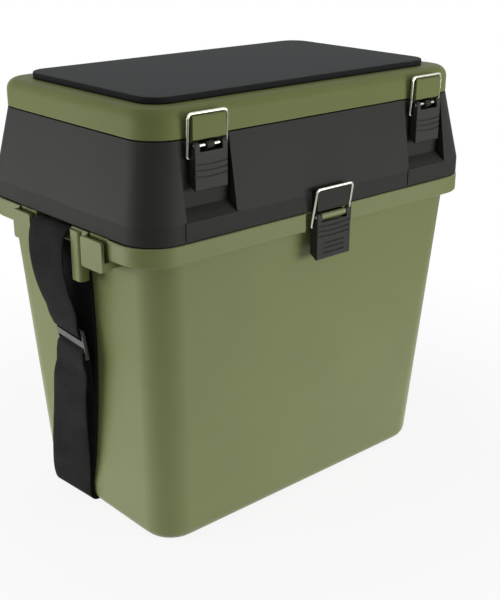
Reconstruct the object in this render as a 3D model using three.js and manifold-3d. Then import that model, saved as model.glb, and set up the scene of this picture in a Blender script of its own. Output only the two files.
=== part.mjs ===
// A fishing seat box in millimetres, +Z up, standing with the middle of its base on the origin.
// A deep tub with a turned-over rim carries a tray section, and the tray section carries a padded lid.
// Both are hinged along the back and held shut in front by over-centre draw latches.
// A webbing strap runs twice round the tub, over a bar moulded into each end of the rim.
import * as THREE from "three";
import { mergeVertices } from "three/addons/utils/BufferGeometryUtils.js";
import Module from "manifold-3d";

const wasm = await Module();
wasm.setup();

// Tub: outside sizes of the wall, which leans in from the mouth to the base.
const tubHeight = 259.1;
const mouthHalfWidth = 176;
const mouthHalfDepth = 111.8;
const wallLeanWidth = 15.4;
const wallLeanDepth = 17;
const cornerRadius = 28;
const bottomRounding = 10;
const tubWall = 2.5;
const tubBase = 3;

// Rim: an upside-down channel round the mouth.
const rimHeight = 15.7;
const rimOverhangWidth = 14;
const rimOverhangDepth = 7;
const rimCorner = 32;
const rimBand = 2.5;
const rimFlange = 2.5;
const rimRibPitch = 44;
const rimRib = 2;

// Tray section.
const seam = 0.3;
const traySetbackWidth = 1.9;
const traySetbackDepth = 0.3;
const trayStraight = 15;
const trayHeight = 75.9;
const trayLeanWidth = 12.1;
const trayLeanDepth = 10;
const trayCorner = 30;
const trayWall = 2.5;
const trayFloor = 3;
const skirtDepth = 4.1;
const skirtGap = 1;
const skirtWall = 2;
const lipHeight = 3.5;
const lipGap = 0.6;
const lipWall = 2.5;
const dividerShare = 0.33;
const dividerThickness = 2;
const dividerHeight = 56;
const dividerFit = 0.4;
const guideRib = 2;
const guideDepth = 3.5;

// Lid and seat pad.
const lidHeight = 22.9;
const lidRounding = 9;
const lidCorner = 28;
const lidWall = 2.5;
const lidRib = 2;
const lidRibDepth = 5;
const lidCrossRibDepth = 4;
const padMargin = 18.4;
const padMarginDepth = 20.1;
const padThickness = 5.2;
const padCrown = 0.5;
const padCorner = 18;
const padEdge = 1.2;

// Draw latches, which are alike but for these sizes. Profile sizes are measured from the pivot.
const pinDiameter = 3;
const boreGap = 0.3;
const leverNose = 3.2;
const leverWall = 2.2;
const notchDepth = 7.5;
const hookBack = 2.6;
const hookDrop = 9;
const wireDiameter = 2.4;
const wireBend = 2.6;
const bailGap = 0.35;
const grooveWidth = 1.1;
const grooveDepth = 0.7;
const grooveSag = 1.2;
const keeperSlack = 0.5;
const upperLatchInset = 51;
const recessOffset = 0.7;
const upperRecessHalf = 24.7;
const recessBackSetback = 0.3;
const recessSill = 52;
const recessSillSlope = 0.79;
const sillPanelProud = 0.6;
const sillPanelHeight = 14;
const sillPanelDrop = 14;
const upperPivotProud = 5.3;
const upperPivotDrop = 4.8;
const centrePivotProud = 3.2;
const centrePivotDrop = 4.2;
const upperKeeper = { width: 32, height: 19, proud: 6.7, bevelDepth: 3.2, bevelRise: 1.5 };
const centreKeeper = { width: 37, height: 19.7, proud: 5.25, bevelDepth: 2.25, bevelRise: 1.6 };
const upperLatch = {
  width: 31,
  drop: 33.7,
  back: 4.9,
  slope: 5,
  notch: 22,
  lug: 7,
  bailHalf: 18.8,
  arcs: [15.3, 19.9, 24.6],
  bars: [],
};
const centreLatch = {
  width: 39,
  drop: 36.6,
  back: 5,
  slope: 5,
  notch: 30,
  lug: 28,
  bailHalf: 21.1,
  arcs: [9.6, 13.9, 18.2],
  bars: [25.2, 29.5, 33.8],
};
const barGroove = 24;
const rimNotchHalf = 27;
const rimNotchDepth = 4.3;
const notchCheek = 2.5;

// Hinges at the back, one pair under the lid and one pair under the tray section.
const hingeInset = 66;
const hingeKnuckle = 8;
const hingeMiddle = 17.2;
const knuckleGap = 0.4;
const lidHingeProud = 6;
const lidHingeDrop = 2;
const lidKnuckle = 4.2;
const trayHingeProud = 5.7;
const trayHingeDrop = 5.8;
const trayKnuckle = 4.5;
const hingePin = 3.6;

// Strap brackets at the two ends of the rim.
const socketPlate = 2.6;
const socketSlot = 4.4;
const socketBack = 2.5;
const socketProud = 5;
const socketBottom = 10.6;
const socketTopDrop = 1.8;
const socketWall = 2.5;
const rearSocket = { from: 32.7, to: 59.3 };
const frontSocket = { from: -70, to: -41.7 };
const windowFront = -22.2;
const windowGap = 0.8;
const strapBarWidth = 5;
const strapBarSetback = 0.5;
const strapBarHeight = 9.5;
const strapBarDrop = 4.3;
const postProud = 3;
const postWidth = 7;
const postDepth = 13.8;
const postDrop = 27;

// Webbing strap and its slider. Positions along Y are those of the middle of the webbing.
const strapWidth = 50;
const strapThickness = 1.5;
const strapClearance = 0.3;
const strapTopY = 3.5;
const strapInnerTopY = 1;
const strapBaseY = 34;
const channelDepth = 5;
const channelHalf = 29;
const sliderHeight = 165;
const sliderY = 2.5;
const strapBow = 4.3;
const strapBulge = 12.3;
const sliderTurn = 9;
const sliderTilt = 4;
const baseTurn = -9;
const cornerLoose = 2.6;
const tailLength = 52;
const tailDrift = 10;
const sliderBar = 4;
const sliderCentreBar = 6;
const sliderWindow = 6.5;
const sliderThickness = 2.6;
const sliderSide = 2.8;
const sliderFit = 0.8;
const threadGap = 0.5;

// Heights and outlines that follow from the sizes above.
const rimTop = tubHeight + rimHeight;
const rimHalfWidth = mouthHalfWidth + rimOverhangWidth;
const rimHalfDepth = mouthHalfDepth + rimOverhangDepth;
const trayBottom = rimTop + seam;
const trayTop = trayBottom + trayHeight;
const trayHalfWidth = rimHalfWidth - traySetbackWidth;
const trayHalfDepth = rimHalfDepth - traySetbackDepth;
const lidHalfWidth = trayHalfWidth - trayLeanWidth;
const lidHalfDepth = trayHalfDepth - trayLeanDepth;
const lidBottom = trayTop + seam;
const lidTop = lidBottom + lidHeight;
const padBottom = lidTop + seam;
const upperLatchX = lidHalfWidth - upperLatchInset;
const upperRecessX = upperLatchX + recessOffset;
const hingeX = lidHalfWidth - hingeInset;
const dividerX = lidHalfWidth * dividerShare;
const wallX = (z) => mouthHalfWidth - wallLeanWidth * (1 - z / tubHeight);
const wallY = (z) => mouthHalfDepth - wallLeanDepth * (1 - z / tubHeight);
const trayLean = (z) => Math.max(0, (z - trayBottom - trayStraight) / (trayHeight - trayStraight));
const trayX = (z) => trayHalfWidth - trayLeanWidth * trayLean(z);
const trayY = (z) => trayHalfDepth - trayLeanDepth * trayLean(z);
const recessBack = lidHalfDepth - recessBackSetback;

// A closed geometry as a solid, and a solid as a geometry.
function solid(geometry) {
  const bare = geometry.clone();
  bare.deleteAttribute("normal");
  bare.deleteAttribute("uv");
  const merged = mergeVertices(bare, 1e-4);
  const mesh = new wasm.Mesh({
    numProp: 3,
    vertProperties: merged.attributes.position.array,
    triVerts: new Uint32Array(merged.index.array),
  });
  return new wasm.Manifold(mesh);
}

function geometryOf(shape) {
  const mesh = shape.getMesh();
  const geometry = new THREE.BufferGeometry();
  geometry.setAttribute("position", new THREE.BufferAttribute(mesh.vertProperties, 3));
  geometry.setIndex(new THREE.BufferAttribute(mesh.triVerts, 1));
  const faceted = geometry.toNonIndexed();
  faceted.computeVertexNormals();
  return faceted;
}

const join = (...shapes) => shapes.reduce((whole, shape) => whole.add(shape));
const cut = (shape, ...tools) => tools.reduce((rest, tool) => rest.subtract(tool), shape);

// A rounded rectangle at height z, counterclockwise from above.
function ring(halfX, halfY, radius, z) {
  const steps = 7;
  const points = [];
  for (let corner = 0; corner < 4; corner++) {
    const signX = corner === 0 || corner === 3 ? 1 : -1;
    const signY = corner < 2 ? 1 : -1;
    for (let i = 0; i <= steps; i++) {
      const angle = ((corner + i / steps) * Math.PI) / 2;
      const x = signX * (halfX - radius) + radius * Math.cos(angle);
      const y = signY * (halfY - radius) + radius * Math.sin(angle);
      points.push(new THREE.Vector3(x, y, z));
    }
  }
  return points;
}

// A solid through rings that follow each other upwards.
function loft(rings) {
  const count = rings[0].length;
  const index = [];
  for (let r = 0; r + 1 < rings.length; r++) {
    for (let i = 0; i < count; i++) {
      const a = r * count + i;
      const b = r * count + ((i + 1) % count);
      index.push(a, b, b + count, a, b + count, a + count);
    }
  }
  const last = (rings.length - 1) * count;
  for (let i = 1; i + 1 < count; i++) {
    index.push(0, i + 1, i);
    index.push(last, last + i, last + i + 1);
  }
  const geometry = new THREE.BufferGeometry().setFromPoints(rings.flat());
  geometry.setIndex(index);
  return solid(geometry);
}

function box(x0, x1, y0, y1, z0, z1) {
  const geometry = new THREE.BoxGeometry(x1 - x0, y1 - y0, z1 - z0);
  geometry.translate((x0 + x1) / 2, (y0 + y1) / 2, (z0 + z1) / 2);
  return solid(geometry);
}

// A box on the left (side -1) or the right (side +1), measured outwards from the middle plane.
function sideBox(side, inner, outer, y0, y1, z0, z1) {
  const ends = [side * inner, side * outer].sort((a, b) => a - b);
  return box(ends[0], ends[1], y0, y1, z0, z1);
}

function rod(radius, x0, x1, y, z, sides = 20) {
  const geometry = new THREE.CylinderGeometry(radius, radius, x1 - x0, sides);
  geometry.rotateZ(Math.PI / 2);
  geometry.translate((x0 + x1) / 2, y, z);
  return solid(geometry);
}

// A profile drawn in Y and Z and given a width along X.
function prismX(profile, x0, x1, curveSegments = 8) {
  const shape = Array.isArray(profile) ? new THREE.Shape(profile.map((p) => new THREE.Vector2(...p))) : profile;
  const settings = { depth: x1 - x0, bevelEnabled: false, curveSegments };
  const geometry = new THREE.ExtrudeGeometry(shape, settings);
  const turn = new THREE.Matrix4().makeBasis(
    new THREE.Vector3(0, 1, 0),
    new THREE.Vector3(0, 0, 1),
    new THREE.Vector3(1, 0, 0),
  );
  geometry.applyMatrix4(turn);
  geometry.translate(x0, 0, 0);
  return solid(geometry);
}

// A profile drawn in X and Z and given a depth along Y, from y0 back to y1.
function prismY(shape, y0, y1) {
  const geometry = new THREE.ExtrudeGeometry(shape, { depth: y1 - y0, bevelEnabled: false, curveSegments: 5 });
  const turn = new THREE.Matrix4().makeBasis(
    new THREE.Vector3(1, 0, 0),
    new THREE.Vector3(0, 0, 1),
    new THREE.Vector3(0, -1, 0),
  );
  geometry.applyMatrix4(turn);
  geometry.translate(0, y1, 0);
  return solid(geometry);
}

function roundedRectangle(x0, x1, y0, y1, radius) {
  const shape = new THREE.Shape();
  shape.absarc(x1 - radius, y1 - radius, radius, 0, Math.PI / 2);
  shape.absarc(x0 + radius, y1 - radius, radius, Math.PI / 2, Math.PI);
  shape.absarc(x0 + radius, y0 + radius, radius, Math.PI, 1.5 * Math.PI);
  shape.absarc(x1 - radius, y0 + radius, radius, 1.5 * Math.PI, 2 * Math.PI);
  shape.closePath();
  return shape;
}

// A hinge or latch lug: a round boss on an arm that widens to its root on a wall at rootY.
function lug(centre, radius, rootY, rootTop, rootBottom, x0, x1) {
  const towards = new THREE.Vector2(rootY - centre.y, (rootTop + rootBottom) / 2 - centre.z).normalize();
  const across = new THREE.Vector2(-towards.y, towards.x).multiplyScalar(radius);
  const ends = [
    [centre.y + across.x, centre.z + across.y],
    [centre.y - across.x, centre.z - across.y],
  ].sort((a, b) => b[1] - a[1]);
  const arm = prismX([[rootY, rootTop], ends[0], ends[1], [rootY, rootBottom]], x0, x1);
  return join(arm, rod(radius, x0, x1, centre.y, centre.z));
}

// Pivots. Y and Z only, because every axis in the box lies along X.
const lidHinge = { y: lidHalfDepth + lidHingeProud, z: trayTop - lidHingeDrop };
const trayHinge = { y: rimHalfDepth + trayHingeProud, z: rimTop - trayHingeDrop };
const upperPivot = { y: -(lidHalfDepth + upperPivotProud), z: trayTop - upperPivotDrop };
const centrePivot = { y: -(rimHalfDepth + centrePivotProud), z: rimTop - centrePivotDrop };
const upperKeeperFace = -(lidHalfDepth + upperKeeper.proud);
const centreKeeperFace = -(trayHalfDepth + centreKeeper.proud);
const upperKeeperBottom = upperPivot.z + leverNose + keeperSlack - 0.2;
const centreKeeperBottom = centrePivot.z + leverNose + keeperSlack;
const boreRadius = pinDiameter / 2 + boreGap;

// A hinge: the two outer knuckles, the middle one and the pin, about the hinge's own middle at x.
function outerKnuckles(x, centre, radius, rootY, rootTop, rootBottom) {
  const inner = hingeMiddle / 2 + knuckleGap;
  const outer = inner + hingeKnuckle;
  const left = lug(centre, radius, rootY, rootTop, rootBottom, x - outer, x - inner);
  const right = lug(centre, radius, rootY, rootTop, rootBottom, x + inner, x + outer);
  const bore = rod(hingePin / 2 + boreGap, x - outer - 1, x + outer + 1, centre.y, centre.z);
  return cut(join(left, right), bore);
}

function middleKnuckle(x, centre, radius, rootY, rootTop, rootBottom) {
  const half = hingeMiddle / 2;
  const body = lug(centre, radius, rootY, rootTop, rootBottom, x - half, x + half);
  return cut(body, rod(hingePin / 2 + boreGap, x - half - 1, x + half + 1, centre.y, centre.z));
}

// The tub with its rim.
function tubShape() {
  const outer = [];
  const roundingSteps = 5;
  for (let i = 0; i <= roundingSteps; i++) {
    const angle = ((i / roundingSteps) * Math.PI) / 2;
    const z = bottomRounding * (1 - Math.cos(angle));
    const inset = bottomRounding * (1 - Math.sin(angle));
    outer.push(ring(wallX(z) - inset, wallY(z) - inset, cornerRadius - inset, z));
  }
  outer.push(ring(wallX(rimTop), wallY(rimTop), cornerRadius, rimTop));

  const cavity = [];
  const innerRounding = bottomRounding - tubWall;
  for (let i = 0; i <= roundingSteps; i++) {
    const angle = ((i / roundingSteps) * Math.PI) / 2;
    const z = tubBase + innerRounding * (1 - Math.cos(angle));
    const inset = tubWall + innerRounding * (1 - Math.sin(angle));
    cavity.push(ring(wallX(z) - inset, wallY(z) - inset, cornerRadius - inset, z));
  }
  const above = rimTop + 1;
  cavity.push(ring(wallX(above) - tubWall, wallY(above) - tubWall, cornerRadius - tubWall, above));

  const edge = rimBand / 3;
  const band = loft([
    ring(rimHalfWidth - edge, rimHalfDepth - edge, rimCorner - edge, tubHeight),
    ring(rimHalfWidth, rimHalfDepth, rimCorner, tubHeight + edge),
    ring(rimHalfWidth, rimHalfDepth, rimCorner, rimTop - edge),
    ring(rimHalfWidth - edge, rimHalfDepth - edge, rimCorner - edge, rimTop),
  ]);
  const bandInside = loft([
    ring(rimHalfWidth - rimBand, rimHalfDepth - rimBand, rimCorner - rimBand, tubHeight - 1),
    ring(rimHalfWidth - rimBand, rimHalfDepth - rimBand, rimCorner - rimBand, rimTop - rimFlange),
  ]);
  let rim = cut(band, bandInside);

  // Ribs stiffen the hollow under the rim.
  const ribBottom = tubHeight + rimBand;
  const ribTop = rimTop - rimFlange / 2;
  const longRibs = Math.floor((rimHalfWidth - rimCorner) / rimRibPitch);
  for (let i = -longRibs; i <= longRibs; i++) {
    const x = i * rimRibPitch;
    const rib = box(
      x - rimRib / 2,
      x + rimRib / 2,
      mouthHalfDepth - tubWall / 2,
      rimHalfDepth - rimBand / 2,
      ribBottom,
      ribTop,
    );
    rim = rim.add(rib);
    if (Math.abs(x) > rimNotchHalf + rimRib) rim = rim.add(solid(geometryOf(rib).rotateZ(Math.PI)));
  }

  // The notch in front of the centre latch, with its back wall and cheeks.
  const notchBack = rimHalfDepth - rimNotchDepth;
  const cheeks = box(
    -rimNotchHalf - notchCheek,
    rimNotchHalf + notchCheek,
    -rimHalfDepth + 0.2,
    -mouthHalfDepth + tubWall / 2,
    tubHeight,
    rimTop,
  );
  const notch = box(-rimNotchHalf, rimNotchHalf, -rimHalfDepth - 5, -notchBack, tubHeight - 5, rimTop + 5);
  rim = cut(join(rim, cheeks), notch);

  // The channel for the strap under the base, and the raised floor above it.
  const channel = prismX(channelProfile(0), -mouthHalfWidth, mouthHalfWidth);
  const cover = prismX(channelProfile(tubBase), -mouthHalfWidth, mouthHalfWidth);
  let body = join(loft(outer), rim);
  for (const side of [-1, 1]) body = bracket(body, side);
  body = cut(body, cut(loft(cavity), cover), channel);

  // The lug for the centre latch and the knuckles for the tray section.
  const half = centreLatch.lug / 2;
  const latchLug = lug(
    centrePivot,
    leverNose - 0.2,
    -notchBack + 1,
    centrePivot.z + leverNose - 0.2,
    centrePivot.z - hookDrop,
    -half,
    half,
  );
  const bore = rod(boreRadius, -half - 1, half + 1, centrePivot.y, centrePivot.z);
  body = body.add(cut(latchLug, bore));
  for (const side of [-1, 1]) {
    const rootBottom = trayHinge.z - 2 * trayKnuckle;
    const root = rimHalfDepth - rimBand / 2;
    body = body.add(
      outerKnuckles(side * hingeX, trayHinge, trayKnuckle, root, trayHinge.z + trayKnuckle / 2, rootBottom),
    );
  }
  return body;
}

// The channel's outline, grown by a thickness for the floor above it.
function channelProfile(grow) {
  const chamfer = channelDepth / 2;
  const half = channelHalf + grow;
  const top = channelDepth + grow;
  return [
    [strapBaseY - half - chamfer, -1],
    [strapBaseY + half + chamfer, -1],
    [strapBaseY + half, top - chamfer],
    [strapBaseY + half - chamfer, top],
    [strapBaseY - half + chamfer, top],
    [strapBaseY - half, top - chamfer],
  ];
}

// The moulded bracket on one end of the rim: two open-topped sockets, a strap bar and its post.
function bracket(tub, side) {
  const face = rimHalfWidth + socketProud;
  const slotOuter = face - socketPlate;
  const slotInner = slotOuter - socketSlot;
  const back = slotInner - socketBack;
  const bottom = tubHeight - socketBottom;
  const top = rimTop - socketTopDrop;
  let body = tub;
  for (const socket of [rearSocket, frontSocket]) {
    const outline = roundedRectangle(socket.from, socket.to, bottom, top, socketWall);
    const ends = [side * back, side * face].sort((a, b) => a - b);
    body = body.add(prismX(outline, ends[0], ends[1], 4));
    for (const y of [socket.from, socket.to - socketWall]) {
      const inner = wallX(bottom) - tubWall / 2;
      body = body.add(sideBox(side, inner, back + 1, y, y + socketWall, bottom + socketWall, rimTop - 1));
    }
  }
  const windowRear = rearSocket.from;
  const windowInner = wallX(rimTop) + windowGap;
  const opening = sideBox(side, windowInner, face + 5, windowFront, windowRear, tubHeight - 20, rimTop + 5);
  body = body.subtract(opening);
  for (const socket of [rearSocket, frontSocket]) {
    const slot = sideBox(
      side,
      slotInner,
      slotOuter,
      socket.from + socketWall,
      socket.to - socketWall,
      bottom + socketWall,
      rimTop + 5,
    );
    const cutaway = sideBox(
      side,
      slotInner,
      slotOuter,
      socket.from - 1,
      socket.from + socketWall + 1,
      bottom + socketWall + socketBottom / 2,
      rimTop + 5,
    );
    body = cut(body, slot, cutaway);
  }

  // The bar that the strap goes over, and the post at its front end.
  const barOuter = rimHalfWidth - strapBarSetback;
  const barInner = barOuter - strapBarWidth;
  const barTop = rimTop - strapBarDrop;
  const barEnds = [side * barInner, side * barOuter].sort((a, b) => a - b);
  const barShape = roundedRectangle(barEnds[0], barEnds[1], barTop - strapBarHeight, barTop, strapBarWidth / 2.1);
  const bar = prismY(barShape, windowFront - postWidth / 2, windowRear + socketWall / 2);
  const postEnds = [side * (rimHalfWidth - postWidth), side * (rimHalfWidth + postProud)].sort((a, b) => a - b);
  const postShape = roundedRectangle(postEnds[0], postEnds[1], windowFront - postDepth, windowFront, postWidth / 2);
  const postBottom = tubHeight - postDrop;
  const postGeometry = new THREE.ExtrudeGeometry(postShape, {
    depth: rimTop - rimFlange / 2 - postBottom,
    bevelEnabled: false,
    curveSegments: 5,
  });
  postGeometry.translate(0, 0, postBottom);
  const web = sideBox(
    side,
    wallX(postBottom) - tubWall / 2,
    rimHalfWidth - postWidth / 2,
    windowFront - postDepth + socketWall,
    windowFront - socketWall,
    postBottom + postWidth,
    rimTop - rimFlange / 2,
  );
  return join(body, bar, solid(postGeometry), web);
}

// The tray section.
function trayShape() {
  const edge = trayWall / 3;
  const outer = loft([
    ring(trayHalfWidth - edge, trayHalfDepth - edge, trayCorner - edge, trayBottom),
    ring(trayHalfWidth, trayHalfDepth, trayCorner, trayBottom + edge),
    ring(trayHalfWidth, trayHalfDepth, trayCorner, trayBottom + trayStraight),
    ring(lidHalfWidth, lidHalfDepth, lidCorner, trayTop),
  ]);
  const lipOuterInset = lidWall + lipGap;
  const lipInset = lipOuterInset + lipWall;
  const lipTop = trayTop + lipHeight;
  const lip = loft([
    ring(lidHalfWidth - lipOuterInset, lidHalfDepth - lipOuterInset, lidCorner - lipOuterInset, trayTop - 1),
    ring(lidHalfWidth - lipOuterInset, lidHalfDepth - lipOuterInset, lidCorner - lipOuterInset, lipTop),
  ]);
  const floorTop = trayBottom + trayFloor;
  const insideRing = (z, inset) => ring(trayX(z) - inset, trayY(z) - inset, lidCorner - inset, z);
  const cavity = loft([
    insideRing(floorTop, trayWall + trayFloor),
    insideRing(floorTop + trayFloor, trayWall),
    insideRing(trayBottom + trayStraight, trayWall),
    insideRing(trayTop - 3 * lipWall, trayWall),
    ring(lidHalfWidth - lipInset, lidHalfDepth - lipInset, lidCorner - lipInset, trayTop - lipWall),
    ring(lidHalfWidth - lipInset, lidHalfDepth - lipInset, lidCorner - lipInset, lipTop + 1),
  ]);

  // The skirt that drops inside the mouth of the tub.
  const skirtBottom = trayBottom - skirtDepth;
  const skirtX = wallX(skirtBottom) - tubWall - skirtGap;
  const skirtY = wallY(skirtBottom) - tubWall - skirtGap;
  const skirtCorner = cornerRadius - tubWall - skirtGap;
  const skirt = cut(
    loft([
      ring(skirtX, skirtY, skirtCorner, skirtBottom),
      ring(skirtX, skirtY, skirtCorner, trayBottom + trayFloor / 2),
    ]),
    loft([
      ring(skirtX - skirtWall, skirtY - skirtWall, skirtCorner - skirtWall, skirtBottom - 1),
      ring(skirtX - skirtWall, skirtY - skirtWall, skirtCorner - skirtWall, trayBottom),
    ]),
  );
  let hollow = cavity;
  const recesses = [];
  const additions = [];
  const sill = trayTop - recessSill;
  for (const side of [-1, 1]) {
    const x = side * upperRecessX;
    const out = trayHalfDepth + 10;
    const sillOut = sill - (out - recessBack) * recessSillSlope;
    const left = x - upperRecessHalf;
    const right = x + upperRecessHalf;
    const profile = [
      [-recessBack, sill],
      [-recessBack, trayTop + 5],
      [-out, trayTop + 5],
      [-out, sillOut],
    ];
    recesses.push(prismX(profile, left, right));
    const behind = [
      [-recessBack + trayWall, sill - trayWall],
      [-recessBack + trayWall, lipTop + 2],
      [-out, lipTop + 2],
      [-out, sillOut - trayWall * 1.3],
    ];
    hollow = hollow.subtract(prismX(behind, left - trayWall, right + trayWall));
    const panelTop = trayBottom + trayStraight + 1;
    additions.push(
      box(
        left - sillPanelDrop / 10,
        right + sillPanelDrop / 5,
        -trayHalfDepth - sillPanelProud,
        -trayHalfDepth + trayWall / 2,
        panelTop - sillPanelHeight,
        panelTop,
      ),
    );
    const centre = side * upperLatchX;
    const half = upperLatch.lug / 2;
    const latchLug = lug(
      upperPivot,
      leverNose - 0.2,
      -recessBack + 1,
      upperPivot.z + leverNose - 0.2,
      upperPivot.z - hookDrop,
      centre - half,
      centre + half,
    );
    additions.push(cut(latchLug, rod(boreRadius, centre - half - 1, centre + half + 1, upperPivot.y, upperPivot.z)));
  }
  let body = cut(join(outer, lip, skirt), hollow, ...recesses);

  // Guide ribs for the dividers on the front and back walls.
  const guideTop = floorTop + dividerHeight;
  for (const side of [-1, 1]) {
    for (const flank of [-1, 1]) {
      const near = side * dividerX + flank * (dividerThickness / 2 + dividerFit);
      const far = near + flank * guideRib;
      const ends = [near, far].sort((a, b) => a - b);
      for (const face of [-1, 1]) {
        const profile = [
          [face * (trayY(floorTop + trayFloor) - trayWall / 2), floorTop + trayFloor],
          [face * (trayY(trayBottom + trayStraight) - trayWall / 2), trayBottom + trayStraight],
          [face * (trayY(guideTop) - trayWall / 2), guideTop],
          [face * (trayY(guideTop) - trayWall - guideDepth), guideTop],
          [face * (trayY(guideTop) - trayWall - guideDepth), floorTop - trayFloor / 2],
          [face * (trayY(floorTop + trayFloor) - 2 * trayWall), floorTop - trayFloor / 2],
        ];
        additions.push(prismX(face > 0 ? profile : profile.slice().reverse(), ends[0], ends[1]));
      }
    }
  }

  // The keeper that the centre latch draws down.
  const keeper = centreKeeper;
  const face = centreKeeperFace;
  const root = -trayHalfDepth + trayWall * 0.7;
  const top = centreKeeperBottom + keeper.height;
  const profile = [
    [root, top],
    [face + 1.2, top],
    [face, top - 1.2],
    [face, centreKeeperBottom + keeper.bevelRise],
    [face + keeper.bevelDepth, centreKeeperBottom],
    [root, centreKeeperBottom],
  ];
  additions.push(prismX(profile, -keeper.width / 2, keeper.width / 2));

  // Knuckles: outer ones for the lid above, middle ones on the tub's pins below.
  for (const side of [-1, 1]) {
    const x = side * hingeX;
    const lidRoot = lidHalfDepth - trayWall / 4;
    additions.push(
      outerKnuckles(x, lidHinge, lidKnuckle, lidRoot, lidHinge.z - 1, lidHinge.z - 2.6 * lidKnuckle),
    );
    const armRoot = trayHalfDepth - trayWall / 4;
    const armTop = trayBottom + trayStraight;
    additions.push(middleKnuckle(x, trayHinge, trayKnuckle, armRoot, armTop, armTop - 2 * trayKnuckle));
  }
  return join(body, ...additions);
}

// The lid, a shallow shell with ribs under its top and the keepers for the upper latches.
function lidShape() {
  const rounded = (inset, top, rounding, bottom) => {
    const rings = [ring(lidHalfWidth - inset, lidHalfDepth - inset, lidCorner - inset, bottom)];
    const steps = 5;
    for (let i = 0; i <= steps; i++) {
      const angle = ((i / steps) * Math.PI) / 2;
      const draw = inset + rounding * (1 - Math.cos(angle));
      const z = top - rounding * (1 - Math.sin(angle));
      rings.push(ring(lidHalfWidth - draw, lidHalfDepth - draw, lidCorner - draw, z));
    }
    return loft(rings);
  };
  const outer = rounded(0, lidTop, lidRounding, lidBottom);
  let hollow = rounded(lidWall, lidTop - lidWall, lidRounding - lidWall, lidBottom - 1);
  const ribBottom = lidTop - lidWall - lidRibDepth;
  const crossBottom = lidTop - lidWall - lidCrossRibDepth;
  for (const y of [-lidHalfDepth / 3, lidHalfDepth / 3]) {
    hollow = hollow.subtract(box(-lidHalfWidth, lidHalfWidth, y - lidRib / 2, y + lidRib / 2, ribBottom, lidTop));
  }
  for (const x of [-lidHalfWidth / 2, 0, lidHalfWidth / 2]) {
    hollow = hollow.subtract(box(x - lidRib / 2, x + lidRib / 2, -lidHalfDepth, lidHalfDepth, crossBottom, lidTop));
  }
  let body = cut(outer, hollow);
  for (const side of [-1, 1]) {
    const keeper = upperKeeper;
    const face = upperKeeperFace;
    const x = side * upperLatchX;
    const root = -lidHalfDepth + lidWall * 0.7;
    const clear = -lidHalfDepth - lipGap;
    const top = upperKeeperBottom + keeper.height;
    const profile = [
      [root, top],
      [face + 1.3, top],
      [face, top - 1.3],
      [face, upperKeeperBottom + keeper.bevelRise],
      [face + keeper.bevelDepth, upperKeeperBottom],
      [clear, upperKeeperBottom],
      [clear, lidBottom + 1],
      [root, lidBottom + 1],
    ];
    body = body.add(prismX(profile, x - keeper.width / 2, x + keeper.width / 2));
    const rootZ = lidBottom + lidWall;
    body = body.add(
      middleKnuckle(side * hingeX, lidHinge, lidKnuckle, lidHalfDepth - lidWall / 4, rootZ + 2 * lidKnuckle, rootZ),
    );
  }
  return body;
}

// The foam pad, soft at its edges and a little fuller in the middle.
function padShape() {
  const halfX = lidHalfWidth - padMargin;
  const halfY = lidHalfDepth - padMarginDepth;
  const top = padBottom + padThickness;
  const at = (inset, z) => ring(halfX - inset, halfY - inset, Math.max(padCorner - inset, 2), z);
  return loft([
    at(padEdge / 3, padBottom),
    at(0, padBottom + padEdge / 2),
    at(0, top - padEdge),
    at(padEdge / 3, top - padEdge / 3),
    at(padEdge, top),
    at(padCorner - 2, top + padCrown * 0.7),
    at(2.2 * padCorner, top + padCrown),
  ]);
}

// A divider plate that drops into its guides.
function dividerShape(side) {
  const bottom = trayBottom + trayFloor + seam;
  const top = trayBottom + trayFloor + dividerHeight;
  const edge = (z) => trayY(z) - trayWall - dividerFit;
  const foot = trayWall + trayFloor;
  const half = [
    [edge(bottom) - foot, bottom],
    [edge(bottom), bottom + foot],
    [edge(trayBottom + trayStraight), trayBottom + trayStraight],
    [edge(top), top],
  ];
  const other = half.map(([y, z]) => [-y, z]).reverse();
  const x = side * dividerX;
  return prismX([...half, ...other], x - dividerThickness / 2, x + dividerThickness / 2);
}

// A latch lever, drawn about its pivot: a channel with a closed foot, open at the top over the lug.
function leverShape(latch) {
  const half = latch.width / 2;
  const shoulder = 4;
  const side = new THREE.Shape();
  side.absarc(0, 0, leverNose, Math.PI, 0, true);
  side.lineTo(latch.back, -shoulder);
  side.lineTo(latch.back, -latch.drop + latch.slope);
  side.lineTo(-leverNose + 1, -latch.drop);
  side.lineTo(-leverNose, -latch.drop + 1);
  side.closePath();
  const inside = [
    [-leverNose + leverWall, leverNose + 1],
    [-leverNose + leverWall, -latch.drop + 1.4 * leverWall],
    [latch.back + 1, -latch.drop + latch.slope + 1.4 * leverWall],
    [latch.back + 1, leverNose + 1],
  ];
  let body = cut(prismX(side, -half, half), prismX(inside, -half + leverWall, half - leverWall));
  const notchHalf = latch.notch / 2;
  body = body.subtract(box(-notchHalf, notchHalf, -leverNose - 1, leverNose, leverNose - notchDepth, leverNose + 1));
  body = body.subtract(rod(boreRadius, -half - 1, half + 1, 0, 0));
  body = body.subtract(rod(wireDiameter / 2 + boreGap, -half - 1, half + 1, hookBack, -hookDrop, 12));
  for (const below of latch.arcs) {
    body = body.subtract(groove(leverNose - below, half + 1, grooveSag));
  }
  for (const below of latch.bars) {
    body = body.subtract(groove(leverNose - below, barGroove / 2, 0));
  }
  return body;
}

// A grip groove across the front of a lever, sagging in the middle.
function groove(z, half, sag) {
  const steps = sag > 0 ? 6 : 1;
  const upper = [];
  for (let i = 0; i <= steps; i++) {
    const x = -half + (2 * half * i) / steps;
    upper.push(new THREE.Vector2(x, z - sag * (1 - (x / half) ** 2)));
  }
  const lower = upper.map((p) => new THREE.Vector2(p.x, p.y - grooveWidth)).reverse();
  const shape = new THREE.Shape([...upper, ...lower]);
  return prismY(shape, -leverNose - 1, -leverNose + grooveDepth);
}

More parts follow.
